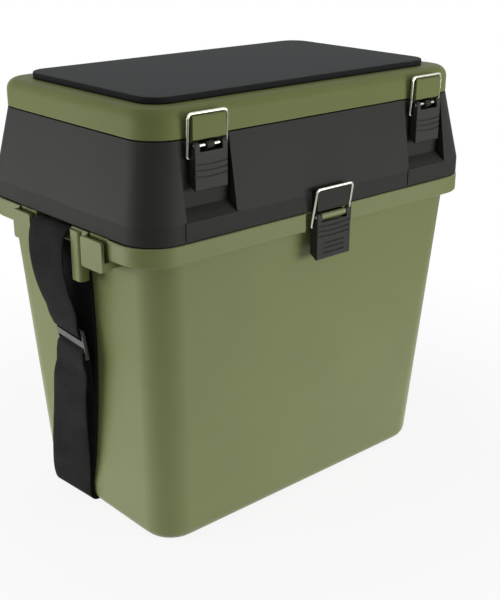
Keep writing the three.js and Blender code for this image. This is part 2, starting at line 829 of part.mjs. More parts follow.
// The wire bail, drawn about its own axis: two hooked ends, two legs and a crossbar.
function bailShape(latch, reach) {
  const half = latch.bailHalf;
  const inner = latch.width / 2 - leverWall - 0.3;
  const top = new THREE.Vector3(0, reach.y, reach.z);
  const along = top.clone().normalize().multiplyScalar(wireBend);
  const path = new THREE.CurvePath();
  const turn = (from, corner, to) => path.add(new THREE.QuadraticBezierCurve3(from, corner, to));
  const run = (from, to) => path.add(new THREE.LineCurve3(from, to));
  const at = (x, p) => new THREE.Vector3(x, p.y, p.z);
  const foot = new THREE.Vector3(0, 0, 0);
  const low = foot.clone().add(along);
  const high = top.clone().sub(along);
  run(at(-inner, foot), at(-half + wireBend, foot));
  turn(at(-half + wireBend, foot), at(-half, foot), at(-half, low));
  run(at(-half, low), at(-half, high));
  turn(at(-half, high), at(-half, top), at(-half + wireBend, top));
  run(at(-half + wireBend, top), at(half - wireBend, top));
  turn(at(half - wireBend, top), at(half, top), at(half, high));
  run(at(half, high), at(half, low));
  turn(at(half, low), at(half, foot), at(half - wireBend, foot));
  run(at(half - wireBend, foot), at(inner, foot));
  return wire(path, wireDiameter / 2, 8);
}

// A wire of a given radius along a path of straight runs and bends.
function wire(path, radius, sides) {
  const points = [];
  for (const piece of path.curves) {
    const steps = piece.isLineCurve3 ? 1 : 4;
    for (let i = 0; i < steps; i++) points.push(piece.getPoint(i / steps));
  }
  points.push(path.curves.at(-1).getPoint(1));
  const plane = new THREE.Vector3().crossVectors(
    points[1].clone().sub(points[0]),
    points[Math.floor(points.length / 2)].clone().sub(points[0]),
  );
  const across = plane.normalize();
  const rings = points.map((point, i) => {
    const before = points[Math.max(i - 1, 0)];
    const after = points[Math.min(i + 1, points.length - 1)];
    const tangent = after.clone().sub(before).normalize();
    const side = new THREE.Vector3().crossVectors(tangent, across).normalize();
    return Array.from({ length: sides }, (_, k) => {
      const angle = (2 * Math.PI * (k + 0.5)) / sides;
      return point
        .clone()
        .addScaledVector(side, -radius * Math.cos(angle))
        .addScaledVector(across, radius * Math.sin(angle));
    });
  });
  return loft(rings);
}

// The strap's middle line at its slider, shared by the webbing and the slider.
const strapSurface = strapClearance + strapThickness / 2;
const barCentreX = rimHalfWidth - strapBarSetback - strapBarWidth / 2;
const barCentreZ = rimTop - strapBarDrop - strapBarWidth / 2;
const barRadius = strapBarWidth / 2 + strapSurface;
const innerBaseZ = channelDepth - strapSurface;
const outerBaseZ = innerBaseZ - strapThickness - strapClearance;
const layer = strapThickness + strapClearance;
const cornerX = wallX(channelDepth) - 1.1;
const cornerZ = innerBaseZ + 2.05;
const sliderHalf = sliderCentreBar / 2 + sliderWindow + sliderBar;
const threadReach = sliderThickness / 2 + strapThickness / 2 + threadGap;
const innerLayerOff = strapSurface + 0.1;
const sliderStand =
  innerLayerOff +
  strapThickness +
  strapClearance +
  threadReach +
  (strapWidth / 2) * Math.sin(THREE.MathUtils.degToRad(sliderTurn));
const outerRun = outerStrapRun();

// The outer layer on one side, from the bottom corner up to the strap bar, as a smooth curve.
// It bows out below the slider and again above it, where it falls from the bar.
function outerStrapRun() {
  const low = sliderHeight - sliderHalf;
  const high = sliderHeight + sliderHalf;
  const lean = sliderHalf * Math.tan(THREE.MathUtils.degToRad(sliderTilt));
  const sliderX = wallX(sliderHeight) + sliderStand;
  const lerp = THREE.MathUtils.lerp;
  const below = (part, bow) => {
    const z = lerp(cornerZ, low, part);
    return new THREE.Vector3(wallX(z) + sliderStand + strapBow * bow, lerp(strapBaseY, sliderY - lean, part), z);
  };
  const above = (part, share) =>
    new THREE.Vector3(
      lerp(sliderX, barCentreX + strapBulge, share),
      lerp(sliderY + lean, strapTopY, part),
      lerp(high, barCentreZ, part),
    );
  return new THREE.CatmullRomCurve3(
    [
      new THREE.Vector3(cornerX + 2.05 + layer + cornerLoose, strapBaseY, cornerZ),
      below(0.1, -0.35),
      below(0.27, 0.25),
      below(0.55, 0.7),
      below(0.82, 1),
      below(1, 0.5),
      new THREE.Vector3(sliderX, sliderY, sliderHeight),
      above(0, 0.1),
      above(0.26, 0.53),
      above(0.52, 0.87),
      above(0.78, 1),
      above(0.955, 0.9),
      new THREE.Vector3(barCentreX + strapBulge / 2, strapTopY, barCentreZ + barRadius * 0.9),
      new THREE.Vector3(barCentreX, strapTopY, barCentreZ + barRadius),
    ],
    false,
    "centripetal",
  );
}

// The outer layer's parameter at the slider's height, found by halving.
function runAtHeight(curve, z) {
  let low = 0;
  let high = 1;
  for (let i = 0; i < 40; i++) {
    const middle = (low + high) / 2;
    if (curve.getPointAt(middle).z < z) low = middle;
    else high = middle;
  }
  return (low + high) / 2;
}

const sliderAt = runAtHeight(outerRun, sliderHeight);
// A smooth rise to 1 at a height and back to 0 over the distances below and above it.
const swell = (z, height, below, above) => {
  const reach = (z - height) / (z < height ? below : above);
  return Math.abs(reach) < 1 ? Math.cos((reach * Math.PI) / 2) ** 2 : 0;
};
// The angle that the webbing is turned about the vertical, and how far its rear edge drops, on the slider's side.
const turnAt = (z) =>
  THREE.MathUtils.degToRad(
    sliderTurn * swell(z, sliderHeight, sliderHeight / 4, sliderHeight / 4) +
      baseTurn * swell(z, sliderHeight / 5, sliderHeight / 2.4, sliderHeight / 2),
  );
const tiltAt = (z) =>
  THREE.MathUtils.degToRad(sliderTilt) * swell(z, sliderHeight, sliderHeight / 4, sliderHeight / 4);

// The frame of the webbing at a point: along it, across its width, and out of its face.
// Its width stays level but for the turn and the tilt at the slider.
function strapFrame(tangent, turn = 0, tilt = 0) {
  const width = new THREE.Vector3(-Math.sin(turn), Math.cos(turn), -Math.tan(tilt)).normalize();
  const along = tangent.clone().addScaledVector(width, -width.dot(tangent)).normalize();
  const out = new THREE.Vector3().crossVectors(along, width).normalize();
  return { along, width, out };
}

// How far the webbing stands off its own middle line where it threads the slider.
// It lies over the lower bar, dives behind the middle one and comes out over the upper one.
const threadEdges = [
  [sliderCentreBar / 2 + 0.5, -threadReach],
  [sliderCentreBar / 2 + sliderWindow - 0.5, threadReach],
  [sliderHalf + 1.5, threadReach],
  [sliderHalf * 2.2, 0],
];
function threading(distance) {
  const away = Math.abs(distance);
  if (away <= threadEdges[0][0]) return -threadReach;
  if (away >= threadEdges.at(-1)[0]) return 0;
  const next = threadEdges.findIndex((edge) => edge[0] >= away);
  const [d0, v0] = threadEdges[next - 1];
  const [d1, v1] = threadEdges[next];
  return THREE.MathUtils.mapLinear(away, d0, d1, v0, v1);
}

// A shape drawn flat, with X across the webbing, Y up along it and Z in towards the wall, set at the slider's place.
function atSlider(geometry) {
  const point = outerRun.getPointAt(sliderAt);
  const tilt = THREE.MathUtils.degToRad(sliderTilt);
  const frame = strapFrame(outerRun.getTangentAt(sliderAt), turnAt(sliderHeight), tilt);
  for (const vector of [point, frame.along, frame.width]) vector.x *= -1;
  const out = new THREE.Vector3().crossVectors(frame.width, frame.along);
  const basis = new THREE.Matrix4().makeBasis(frame.width, frame.along, out);
  return geometry.applyMatrix4(basis.setPosition(point));
}

// Sections of the webbing on one side, from the outer layer's bottom corner over the bar to the inner one's.
function strapSide(side, threaded) {
  const sections = [];
  const push = (point, tangent) => sections.push({ point, ...strapFrame(tangent) });
  const length = outerRun.getLength();
  const stops = new Set();
  const count = 30;
  for (let i = 0; i <= count; i++) stops.add(Number((i / count).toFixed(5)));
  if (threaded) {
    for (const [distance] of threadEdges) {
      stops.add(sliderAt - distance / length);
      stops.add(sliderAt + distance / length);
    }
  }
  for (const u of [...stops].sort((a, b) => a - b)) {
    const point = outerRun.getPointAt(Math.min(u, 1));
    const tangent = outerRun.getTangentAt(Math.min(u, 1));
    const frame = threaded ? strapFrame(tangent, turnAt(point.z), tiltAt(point.z)) : strapFrame(tangent);
    if (threaded) point.addScaledVector(frame.out, -threading((u - sliderAt) * length));
    sections.push({ point, ...frame });
  }
  for (const degrees of [30, 60, 90]) {
    const angle = THREE.MathUtils.degToRad(90 + degrees);
    const point = new THREE.Vector3(
      barCentreX + barRadius * Math.cos(angle),
      strapTopY,
      barCentreZ + barRadius * Math.sin(angle),
    );
    push(point, new THREE.Vector3(-Math.sin(angle), 0, Math.cos(angle)));
  }
  const innerTopZ = barCentreZ - strapBarHeight + strapBarWidth / 2 - 1;
  const wallTopZ = tubHeight - postDrop;
  const down = new THREE.Vector3(0, 0, -1);
  push(new THREE.Vector3(barCentreX - barRadius, strapTopY, innerTopZ), down);
  const slope = wallLeanWidth / tubHeight;
  const alongWall = new THREE.Vector3(-slope, 0, -1);
  const wallSteps = 5;
  for (let i = 0; i <= wallSteps; i++) {
    const part = i / wallSteps;
    const z = wallTopZ + (2 * bottomRounding - wallTopZ) * part;
    const y = strapInnerTopY + (strapBaseY - strapInnerTopY) * part ** 1.9;
    push(new THREE.Vector3(wallX(z) + innerLayerOff, y, z), alongWall);
  }
  for (const degrees of [0, 30, 60, 90]) {
    const angle = THREE.MathUtils.degToRad(degrees);
    const point = new THREE.Vector3(cornerX + 2.05 * Math.cos(angle), strapBaseY, cornerZ - 2.05 * Math.sin(angle));
    push(point, new THREE.Vector3(-Math.sin(angle), 0, -Math.cos(angle)));
  }
  for (const section of sections) {
    section.point.x *= side;
    for (const axis of [section.along, section.width, section.out]) axis.x *= side;
  }
  return sections;
}

// The whole webbing: one closed run in two layers.
function strapShape() {
  const outerCorner = (side) => {
    const sections = [];
    for (const degrees of [90, 60, 30]) {
      const angle = THREE.MathUtils.degToRad(degrees);
      const radius = 2.05 + layer;
      const point = new THREE.Vector3(
        cornerX + (radius + cornerLoose) * Math.cos(angle),
        strapBaseY,
        cornerZ - radius * Math.sin(angle),
      );
      const turn = side < 0 ? turnAt(point.z) : 0;
      const frame = strapFrame(new THREE.Vector3(Math.sin(angle), 0, Math.cos(angle)), turn);
      point.x *= side;
      for (const axis of [frame.along, frame.width, frame.out]) axis.x *= side;
      sections.push({ point, ...frame });
    }
    return sections;
  };
  const left = [...outerCorner(-1), ...strapSide(-1, true)];
  const right = [...outerCorner(1), ...strapSide(1, false)].reverse();
  const run = [...left, ...right];
  const corners = [
    [-1, -1],
    [1, -1],
    [1, 1],
    [-1, 1],
  ];
  const points = [];
  for (const section of run) {
    for (const [across, through] of corners) {
      points.push(
        section.point
          .clone()
          .addScaledVector(section.width, (across * strapWidth) / 2)
          .addScaledVector(section.out, (through * strapThickness) / 2),
      );
    }
  }
  const index = [];
  for (let i = 0; i < run.length; i++) {
    const here = i * 4;
    const next = ((i + 1) % run.length) * 4;
    for (let k = 0; k < 4; k++) {
      const a = here + k;
      const b = here + ((k + 1) % 4);
      const c = next + ((k + 1) % 4);
      const d = next + k;
      index.push(a, c, b, a, d, c);
    }
  }
  const geometry = new THREE.BufferGeometry().setFromPoints(points);
  geometry.setIndex(index);
  return solid(geometry).add(strapTail());
}

// The webbing's free end on the left, which comes out behind the slider's middle bar and hangs behind the strap.
function strapTail() {
  const tail = new THREE.BoxGeometry(strapWidth - 0.2, tailLength, strapThickness - 0.2, 1, 4, 1);
  tail.translate(0, 1 - tailLength / 2, threadReach);
  const place = tail.getAttribute("position");
  for (let i = 0; i < place.count; i++) {
    const away = Math.max(0, -place.getY(i) - sliderHalf) / (tailLength - sliderHalf);
    place.setZ(i, place.getZ(i) - place.getX(i) * Math.tan(turnAt(sliderHeight)) * away);
    place.setX(i, place.getX(i) + tailDrift * away);
  }
  return solid(atSlider(tail));
}

// The slider's frame, drawn flat.
function sliderShape() {
  const halfWidth = strapWidth / 2 + sliderFit + sliderSide;
  const shape = roundedRectangle(-halfWidth, halfWidth, -sliderHalf, sliderHalf, sliderSide * 0.9);
  for (const side of [-1, 1]) {
    const low = side > 0 ? sliderCentreBar / 2 : -sliderCentreBar / 2 - sliderWindow;
    const hole = new THREE.Path();
    hole.moveTo(-halfWidth + sliderSide, low);
    hole.lineTo(-halfWidth + sliderSide, low + sliderWindow);
    hole.lineTo(halfWidth - sliderSide, low + sliderWindow);
    hole.lineTo(halfWidth - sliderSide, low);
    hole.closePath();
    shape.holes.push(hole);
  }
  const geometry = new THREE.ExtrudeGeometry(shape, {
    depth: sliderThickness,
    bevelEnabled: false,
    curveSegments: 4,
  });
  geometry.translate(0, 0, -sliderThickness / 2);
  return solid(atSlider(geometry));
}

// Materials, in sRGB colours.
const material = (color, roughness, metalness = 0) => new THREE.MeshStandardMaterial({ color, roughness, metalness });
const olive = () => material(0x7a8260, 0.55);
const charcoal = () => material(0x41423e, 0.6);
const foam = () => material(0x4b4e4e, 0.95);
const steel = () => material(0xd8d8cc, 0.2, 1);
const webbing = () => material(0x30312f, 0.9);
const blackPlastic = () => material(0x2c2d2a, 0.45);

const seatBox = new THREE.Group();
function place(parent, name, shape, looks) {
  const mesh = new THREE.Mesh(geometryOf(shape), looks);
  mesh.name = name;
  parent.add(mesh);
  return mesh;
}

place(seatBox, "tub", tubShape(), olive());
place(seatBox, "tray_section", trayShape(), charcoal());
place(seatBox, "lid", lidShape(), olive());
place(seatBox, "seat_pad", padShape(), foam());
place(seatBox, "tray_divider_left", dividerShape(-1), charcoal());
place(seatBox, "tray_divider_right", dividerShape(1), charcoal());

// Each latch hangs in a group at its pivot.
const latches = [
  { name: "left", latch: upperLatch, x: -upperLatchX, pivot: upperPivot },
  { name: "right", latch: upperLatch, x: upperLatchX, pivot: upperPivot },
  { name: "centre", latch: centreLatch, x: 0, pivot: centrePivot },
];
for (const { name, latch, x, pivot } of latches) {
  const upper = latch === upperLatch;
  const keeperFace = upper ? upperKeeperFace : centreKeeperFace;
  const keeper = upper ? upperKeeper : centreKeeper;
  const keeperTop = (upper ? upperKeeperBottom : centreKeeperBottom) + keeper.height;
  const group = new THREE.Group();
  group.position.set(x, pivot.y, pivot.z);
  seatBox.add(group);
  place(group, "latch_lever_" + name, leverShape(latch), charcoal());
  const pinHalf = latch.width / 2 - 0.2;
  place(group, "latch_pin_" + name, rod(pinDiameter / 2, -pinHalf, pinHalf, 0, 0, 16), steel());
  const reach = {
    y: keeperFace - bailGap - wireDiameter / 2 - (pivot.y + hookBack),
    z: keeperTop + wireDiameter / 2 - keeperSlack - (pivot.z - hookDrop),
  };
  const bail = place(group, "latch_bail_" + name, bailShape(latch, reach), steel());
  bail.position.set(0, hookBack, -hookDrop);
}

// Hinge pins.
const pinLength = hingeMiddle / 2 + knuckleGap + hingeKnuckle;
for (const [name, side] of [
  ["left", -1],
  ["right", 1],
]) {
  for (const [label, centre] of [
    ["lid_hinge_pin_", lidHinge],
    ["tray_hinge_pin_", trayHinge],
  ]) {
    const pin = place(seatBox, label + name, rod(hingePin / 2, -pinLength, pinLength, 0, 0, 16), steel());
    pin.position.set(side * hingeX, centre.y, centre.z);
  }
}

// The strap and its slider.
place(seatBox, "carry_strap", strapShape(), webbing());
place(seatBox, "strap_slider", sliderShape(), blackPlastic());

export default seatBox;
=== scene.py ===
# %% [markdown]
# # A fishing seat box, dressed in Blender
# The box is a moulded plastic tub, a tray section and a lid with a foam pad, held shut by three wire latches.
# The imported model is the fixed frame: every piece below takes its place from it and rides on one of its bodies.
# Lengths are in metres, because that is Blender's unit. Sizes of the box itself are written in millimetres, and MM
# turns them into metres.

import math

import bmesh
import bpy
from mathutils import Matrix, Vector


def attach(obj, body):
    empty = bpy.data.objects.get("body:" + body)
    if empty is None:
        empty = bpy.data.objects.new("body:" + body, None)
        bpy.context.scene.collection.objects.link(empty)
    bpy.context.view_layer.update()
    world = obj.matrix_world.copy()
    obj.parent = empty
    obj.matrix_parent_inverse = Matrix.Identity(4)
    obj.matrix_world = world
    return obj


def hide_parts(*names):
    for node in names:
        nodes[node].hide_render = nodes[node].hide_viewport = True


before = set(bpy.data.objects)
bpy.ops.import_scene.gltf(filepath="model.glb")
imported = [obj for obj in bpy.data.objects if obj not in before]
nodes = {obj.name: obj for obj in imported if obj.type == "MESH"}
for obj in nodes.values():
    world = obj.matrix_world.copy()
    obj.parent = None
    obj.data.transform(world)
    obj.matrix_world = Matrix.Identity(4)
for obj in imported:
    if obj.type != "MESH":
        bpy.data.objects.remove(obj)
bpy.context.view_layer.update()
scene = bpy.context.scene
MM = 0.001

# %% [markdown]
# ## Camera
# The picture was taken from the front left, about 21 degrees above the floor, with a moderately long lens.
# The lens and the place were worked out from the box's own corners, so the camera is set from its three directions.
# A matrix made of the right, up and backward directions says exactly how a camera is turned.

# %% Camera
RIGHT = Vector((0.745146, -0.666893, 0.003384))
UP = Vector((0.235258, 0.267605, 0.934367))
BACK = Vector((-0.624028, -0.695443, 0.356297))
EYE = Vector((-0.621793, -0.713636, 0.519685))
PICTURE_LONG_SIDE = 600
FOCAL_PIXELS = 1068.3

camera_data = bpy.data.cameras.new("camera")
camera_data.sensor_width = 36.0
camera_data.lens = FOCAL_PIXELS / PICTURE_LONG_SIDE * camera_data.sensor_width
camera_data.clip_end = 20.0
camera = bpy.data.objects.new("camera", camera_data)
turn = Matrix((RIGHT, UP, BACK)).transposed().to_4x4()
camera.matrix_world = Matrix.Translation(EYE) @ turn
scene.collection.objects.link(camera)
scene.camera = camera
print("lens", round(camera_data.lens, 1), "mm")

# %% [markdown]
# ## Colours and nodes
# Colours are written as the screen shows them. Shaders work in linear light, so one function turns them.
# One more function adds any node with its settings and its links, which keeps each material readable.
# The node that mixes colours has a set of sockets for every type of value, so its colours are found by their numbers.


# %% Helpers for materials
def linear(hex_colour):
    """A screen colour such as "7c8361" as the linear colour that a shader takes."""
    parts = [int(hex_colour[i : i + 2], 16) / 255 for i in (0, 2, 4)]
    turned = [p / 12.92 if p <= 0.04045 else ((p + 0.055) / 1.055) ** 2.4 for p in parts]
    return (*turned, 1.0)


def add(owner, kind, settings=None, links=None):
    """Adds a node to a material or a world.

    Settings are values of inputs or properties, and links name an input and the output that feeds it.
    An input is named, or numbered where several inputs share a name.
    """
    node = owner.node_tree.nodes.new(kind)
    for name, value in (settings or {}).items():
        if isinstance(name, int) or name in node.inputs:
            node.inputs[name].default_value = value
        else:
            setattr(node, name, value)
    for name, source in (links or {}).items():
        owner.node_tree.links.new(source, node.inputs[name])
    return node


def new_material(name):
    material = bpy.data.materials.new(name)
    material.use_nodes = True
    material.node_tree.nodes.clear()
    return material


def close(material, shader):
    add(material, "ShaderNodeOutputMaterial", links={"Surface": shader.outputs[0]})
    print("material", material.name)
    return material


COLOUR_A, COLOUR_B, MIXED = 6, 7, 2
print("olive in linear light:", [round(part, 3) for part in linear("7b8352")])

# %% [markdown]
# ## Moulded polypropylene
# The tub, lid and tray section are injection-moulded polypropylene. The mould is spark-eroded, so the skin has a fine
# grain that breaks up the highlights, and the plastic itself is even, with slight clouds where it flowed.
# The clouds come from a noise of 70 mm, and they move the colour a little and the roughness a little.


# %% Clouds in the plastic
CLOUD_SIZE = 70 * MM


def cloudy(material, clouds, colour, cloud_colour):
    """A colour that turns a little towards another one in the clouds."""
    soften = add(
        material,
        "ShaderNodeMapRange",
        {"From Min": 0.3, "From Max": 0.7},
        {"Value": clouds.outputs["Fac"]},
    )
    tint = add(
        material,
        "ShaderNodeMix",
        {"data_type": "RGBA", COLOUR_A: linear(colour), COLOUR_B: linear(cloud_colour)},
        {"Factor": soften.outputs["Result"]},
    )
    return tint.outputs[MIXED]


# %% [markdown]
# ## Painted shade in the seams
# Where two mouldings meet, and in sockets and crevices, little light gets in, and this shade is painted into the colour
# as a dark line. The Ambient Occlusion node tells how open a spot is within 3.5 mm. A spot that is less than half open
# takes most of the painted shade's colour.


# %% Painted seam shade
PAINTED_SHADE_REACH = 3.5 * MM


def painted_seam_shade(material, colour, painted_shade_colour):
    """The colour on open surfaces, and a painted shade's colour in sheltered corners and seams."""
    open_share = add(material, "ShaderNodeAmbientOcclusion", {"samples": 8, "Distance": PAINTED_SHADE_REACH})
    unshaded = add(
        material,
        "ShaderNodeMapRange",
        {"From Min": 0.45, "From Max": 0.85, "To Min": 0.1, "To Max": 1.0},
        {"Value": open_share.outputs["AO"]},
    )
    skin = add(
        material,
        "ShaderNodeMix",
        {"data_type": "RGBA", COLOUR_A: linear(painted_shade_colour)},
        {"Factor": unshaded.outputs["Result"], COLOUR_B: colour},
    )
    return skin.outputs[MIXED]


# %% [markdown]
# ## The plastics of this box
# Polypropylene and acetal both have an IOR of about 1.49. What tells them apart is their skin, which is set by the
# roughness and by the specular level. The grain is about 0.3 mm on the real box. It is drawn at 0.7 to 1.2 mm, because
# a finer one would not show.


# %% Moulded plastic
def moulded_plastic(name, colours, roughness, gloss, grain_mm=0.9, grain_height_mm=0.012):
    """A moulded plastic from its colour, the colour of its clouds and the colour of the shade painted into its seams.
    """
    colour, cloud_colour, painted_shade_colour = colours
    material = new_material(name)
    place = add(material, "ShaderNodeTexCoord")
    clouds = add(
        material,
        "ShaderNodeTexNoise",
        {"Scale": 1 / CLOUD_SIZE, "Detail": 3.0, "Roughness": 0.45},
        {"Vector": place.outputs["Object"]},
    )
    # The skin's colour carries painted shade in its seams and sockets.
    skin = painted_seam_shade(material, cloudy(material, clouds, colour, cloud_colour), painted_shade_colour)
    grain = add(
        material,
        "ShaderNodeTexNoise",
        {"Scale": 1 / (grain_mm * MM), "Detail": 2.0, "Roughness": 0.6},
        {"Vector": place.outputs["Object"]},
    )
    shine = add(
        material,
        "ShaderNodeMapRange",
        {"To Min": roughness - 0.03, "To Max": roughness + 0.04},
        {"Value": clouds.outputs["Fac"]},
    )
    relief = add(
        material,
        "ShaderNodeBump",
        {"Strength": 1.0, "Distance": grain_height_mm * MM},
        {"Height": grain.outputs["Fac"]},
    )
    shader = add(
        material,
        "ShaderNodeBsdfPrincipled",
        {"IOR": 1.49, "Specular IOR Level": gloss},
        {"Base Color": skin, "Roughness": shine.outputs["Result"], "Normal": relief.outputs["Normal"]},
    )
    return close(material, shader)


# %% The plastics
# The colours of the shade that is painted into seams and sockets.
OLIVE_PAINTED_SHADE, BLACK_PAINTED_SHADE = "20240f", "0a0a09"

# The tub has a satin skin, with a soft sheen on its walls.
olive_plastic = moulded_plastic("olive_polypropylene", ("7b8352", "787f4f", OLIVE_PAINTED_SHADE), 0.34, 0.4)
# The lid's skin is more matt, so it mirrors less of the lamps and shows a deeper colour.
lid_plastic = moulded_plastic("matt_olive_polypropylene", ("767e4c", "727a49", OLIVE_PAINTED_SHADE), 0.52, 0.12)
# The tray section is about as matt, and its dark colour leaves nothing but a weak, wide highlight.
charcoal_plastic = moulded_plastic("charcoal_polypropylene", ("343531", "32332f", BLACK_PAINTED_SHADE), 0.50, 0.09)
# The levers are acetal, a harder plastic, with a finer grain.
lever_plastic = moulded_plastic("charcoal_acetal", ("353532", "333330", BLACK_PAINTED_SHADE), 0.42, 0.15, grain_mm=0.7)
# The slider is acetal from a polished mould: smooth, with a clear sheen and hardly any grain.
slider_plastic = moulded_plastic(
    "dark_acetal",
    ("434441", "40413e", BLACK_PAINTED_SHADE),
    0.32,
    0.5,
    grain_mm=1.2,
    grain_height_mm=0.004,
)

# %% [markdown]
# ## Bright plated wire
# The bails and pins are drawn steel wire with a bright nickel-chrome plate. The metal is nearly a mirror, so what it
# shows is the studio. Fine drawing marks run round it, far too fine to see singly, so they only vary the roughness,
# in patches of 1.5 mm.


# %% Plated steel
MARK_SIZE = 1.5 * MM


def plated_steel():
    material = new_material("bright_plated_steel")
    place = add(material, "ShaderNodeTexCoord")
    marks = add(
        material,
        "ShaderNodeTexNoise",
        {"Scale": 1 / MARK_SIZE, "Detail": 2.0},
        {"Vector": place.outputs["Object"]},
    )
    shine = add(
        material,
        "ShaderNodeMapRange",
        {"To Min": 0.10, "To Max": 0.22},
        {"Value": marks.outputs["Fac"]},
    )
    shader = add(
        material,
        "ShaderNodeBsdfPrincipled",
        {"Base Color": linear("dedccc"), "Metallic": 1.0},
        {"Roughness": shine.outputs["Result"]},
    )
    return close(material, shader)


wire_metal = plated_steel()

# %% [markdown]
# ## Closed-cell foam
# The seat pad is cut from EVA foam sheet. Its skin is matt with tiny closed cells, about 0.6 mm across, drawn at 1.1 mm
# so that they show. Cells are little pits, so a Voronoi pattern gives both the pits and a slight painted shade in them.
# The sheet has a skin on its top only. Its cut sides are painted nearly black, partly for the open cells of the cut and
# partly as painted shade, so the colour follows the way the surface faces. The object's own normal says that, and it
# stays true when the lid turns.


# %% Closed-cell foam
CELL_SIZE = 1.1 * MM


def closed_cell_foam():
    material = new_material("closed_cell_foam")
    place = add(material, "ShaderNodeTexCoord")
    cells = add(
        material,
        "ShaderNodeTexVoronoi",
        {"Scale": 1 / CELL_SIZE, "feature": "SMOOTH_F1", "Smoothness": 0.6},
        {"Vector": place.outputs["Object"]},
    )
    # Painted shade: the bottoms of the pits are a little darker than the cell walls.
    pit_shade = add(
        material,
        "ShaderNodeMapRange",
        {"From Min": 0.1, "From Max": 0.7},
        {"Value": cells.outputs["Distance"]},
    )
    skin = add(
        material,
        "ShaderNodeMix",
        {"data_type": "RGBA", COLOUR_A: linear("4f5353"), COLOUR_B: linear("575b5b")},
        {"Factor": pit_shade.outputs["Result"]},
    )
    way_up = add(material, "ShaderNodeSeparateXYZ", links={"Vector": place.outputs["Normal"]})
    on_top = add(
        material,
        "ShaderNodeMapRange",
        {"From Min": 0.55, "From Max": 0.95},
        {"Value": way_up.outputs["Z"]},
    )
    # The sides take a nearly black colour and the top keeps the skin: partly the cut's open cells, partly painted
    # shade.
    skin_or_shaded_cut = add(
        material,
        "ShaderNodeMix",
        {"data_type": "RGBA", COLOUR_A: linear("262727")},
        {"Factor": on_top.outputs["Result"], COLOUR_B: skin.outputs[MIXED]},
    )
    relief = add(
        material,
        "ShaderNodeBump",
        {"Strength": 0.7, "Distance": 0.08 * MM},
        {"Height": cells.outputs["Distance"]},
    )
    shader = add(
        material,
        "ShaderNodeBsdfPrincipled",
        {"IOR": 1.45, "Roughness": 0.9, "Specular IOR Level": 0.12},
        {"Base Color": skin_or_shaded_cut.outputs[MIXED], "Normal": relief.outputs["Normal"]},
    )
    return close(material, shader)


foam = closed_cell_foam()

# %% [markdown]
# ## Woven webbing
# The strap is 50 mm polypropylene webbing in a twill weave, whose fine ribs climb across the strap. On the real strap
# they are about 1.5 mm apart. They are drawn 1.9 mm apart here, because finer ones would blur into grey.
# The strap has its own map in metres, across and along it, so the ribs follow it round every bend.
# A rib is a sine wave over the sum of the two directions, and a second, shorter wave along the rib gives its knots.


# %% The weave
RIB_PITCH, KNOT_PITCH, CLIMB = 1.9 * MM, 1.5 * MM, math.radians(30)


def twill(material, split):
    """The height of the weave, from 0 between the ribs to 1 on a knot."""
    across, along = split.outputs["X"], split.outputs["Y"]
    rise = add(material, "ShaderNodeMath", {"operation": "MULTIPLY", 1: math.tan(CLIMB)}, {0: across})
    climb = add(material, "ShaderNodeMath", {"operation": "ADD"}, {0: rise.outputs[0], 1: along})
    fall = add(material, "ShaderNodeMath", {"operation": "SUBTRACT"}, {0: across, 1: along})
    rib_turns = 2 * math.pi * math.cos(CLIMB) / RIB_PITCH
    rib_angle = add(material, "ShaderNodeMath", {"operation": "MULTIPLY", 1: rib_turns}, {0: climb.outputs[0]})
    ribs = add(material, "ShaderNodeMath", {"operation": "SINE"}, {0: rib_angle.outputs[0]})
    knot_turns = 2 * math.pi / (KNOT_PITCH * math.sqrt(2))
    knot_angle = add(material, "ShaderNodeMath", {"operation": "MULTIPLY", 1: knot_turns}, {0: fall.outputs[0]})
    knots = add(material, "ShaderNodeMath", {"operation": "SINE"}, {0: knot_angle.outputs[0]})
    weave = add(
        material,
        "ShaderNodeMath",
        {"operation": "MULTIPLY_ADD", 1: 0.5},
        {0: knots.outputs[0], 2: ribs.outputs[0]},
    )
    level = add(
        material,
        "ShaderNodeMapRange",
        {"From Min": -1.5, "From Max": 1.5},
        {"Value": weave.outputs[0]},
    )
    return level.outputs["Result"]


# %% [markdown]
# ## Wear in the webbing
# Webbing that has been pulled about is darker in some places than in others. Patches of 22 mm take away up to three
# quarters of the shade painted into the weave's grooves, and leave those places dark. Yarn scatters light rather than
# mirroring it, so it is rough, with a trace of sheen.


# %% Woven webbing
PATCH_SIZE = 22 * MM


def woven_webbing():
    material = new_material("polypropylene_webbing")
    place = add(material, "ShaderNodeUVMap", {"uv_map": "weave"})
    split = add(material, "ShaderNodeSeparateXYZ", links={"Vector": place.outputs["UV"]})
    height = twill(material, split)
    patches = add(
        material,
        "ShaderNodeTexNoise",
        {"Scale": 1 / PATCH_SIZE, "Detail": 4.0},
        {"Vector": place.outputs["UV"]},
    )
    wear = add(
        material,
        "ShaderNodeMapRange",
        {"From Min": 0.3, "From Max": 0.7, "To Min": 0.25, "To Max": 1.0},
        {"Value": patches.outputs["Fac"]},
    )
    worn_groove_shade = add(material, "ShaderNodeMath", {"operation": "MULTIPLY"}, {0: height, 1: wear.outputs["Result"]})
    # Painted shade: the grooves between the ribs and knots are nearly black, the ribs a dark grey.
    yarn_and_groove_shade = add(
        material,
        "ShaderNodeMix",
        {"data_type": "RGBA", COLOUR_A: linear("101110"), COLOUR_B: linear("2d2d2c")},
        {"Factor": worn_groove_shade.outputs[0]},
    )
    relief = add(material, "ShaderNodeBump", {"Strength": 0.8, "Distance": 0.3 * MM}, {"Height": height})
    shader = add(
        material,
        "ShaderNodeBsdfPrincipled",
        {"IOR": 1.49, "Roughness": 0.85, "Specular IOR Level": 0.1, "Sheen Weight": 0.02, "Sheen Roughness": 0.4},
        {"Base Color": yarn_and_groove_shade.outputs[MIXED], "Normal": relief.outputs["Normal"]},
    )
    return close(material, shader)


webbing = woven_webbing()

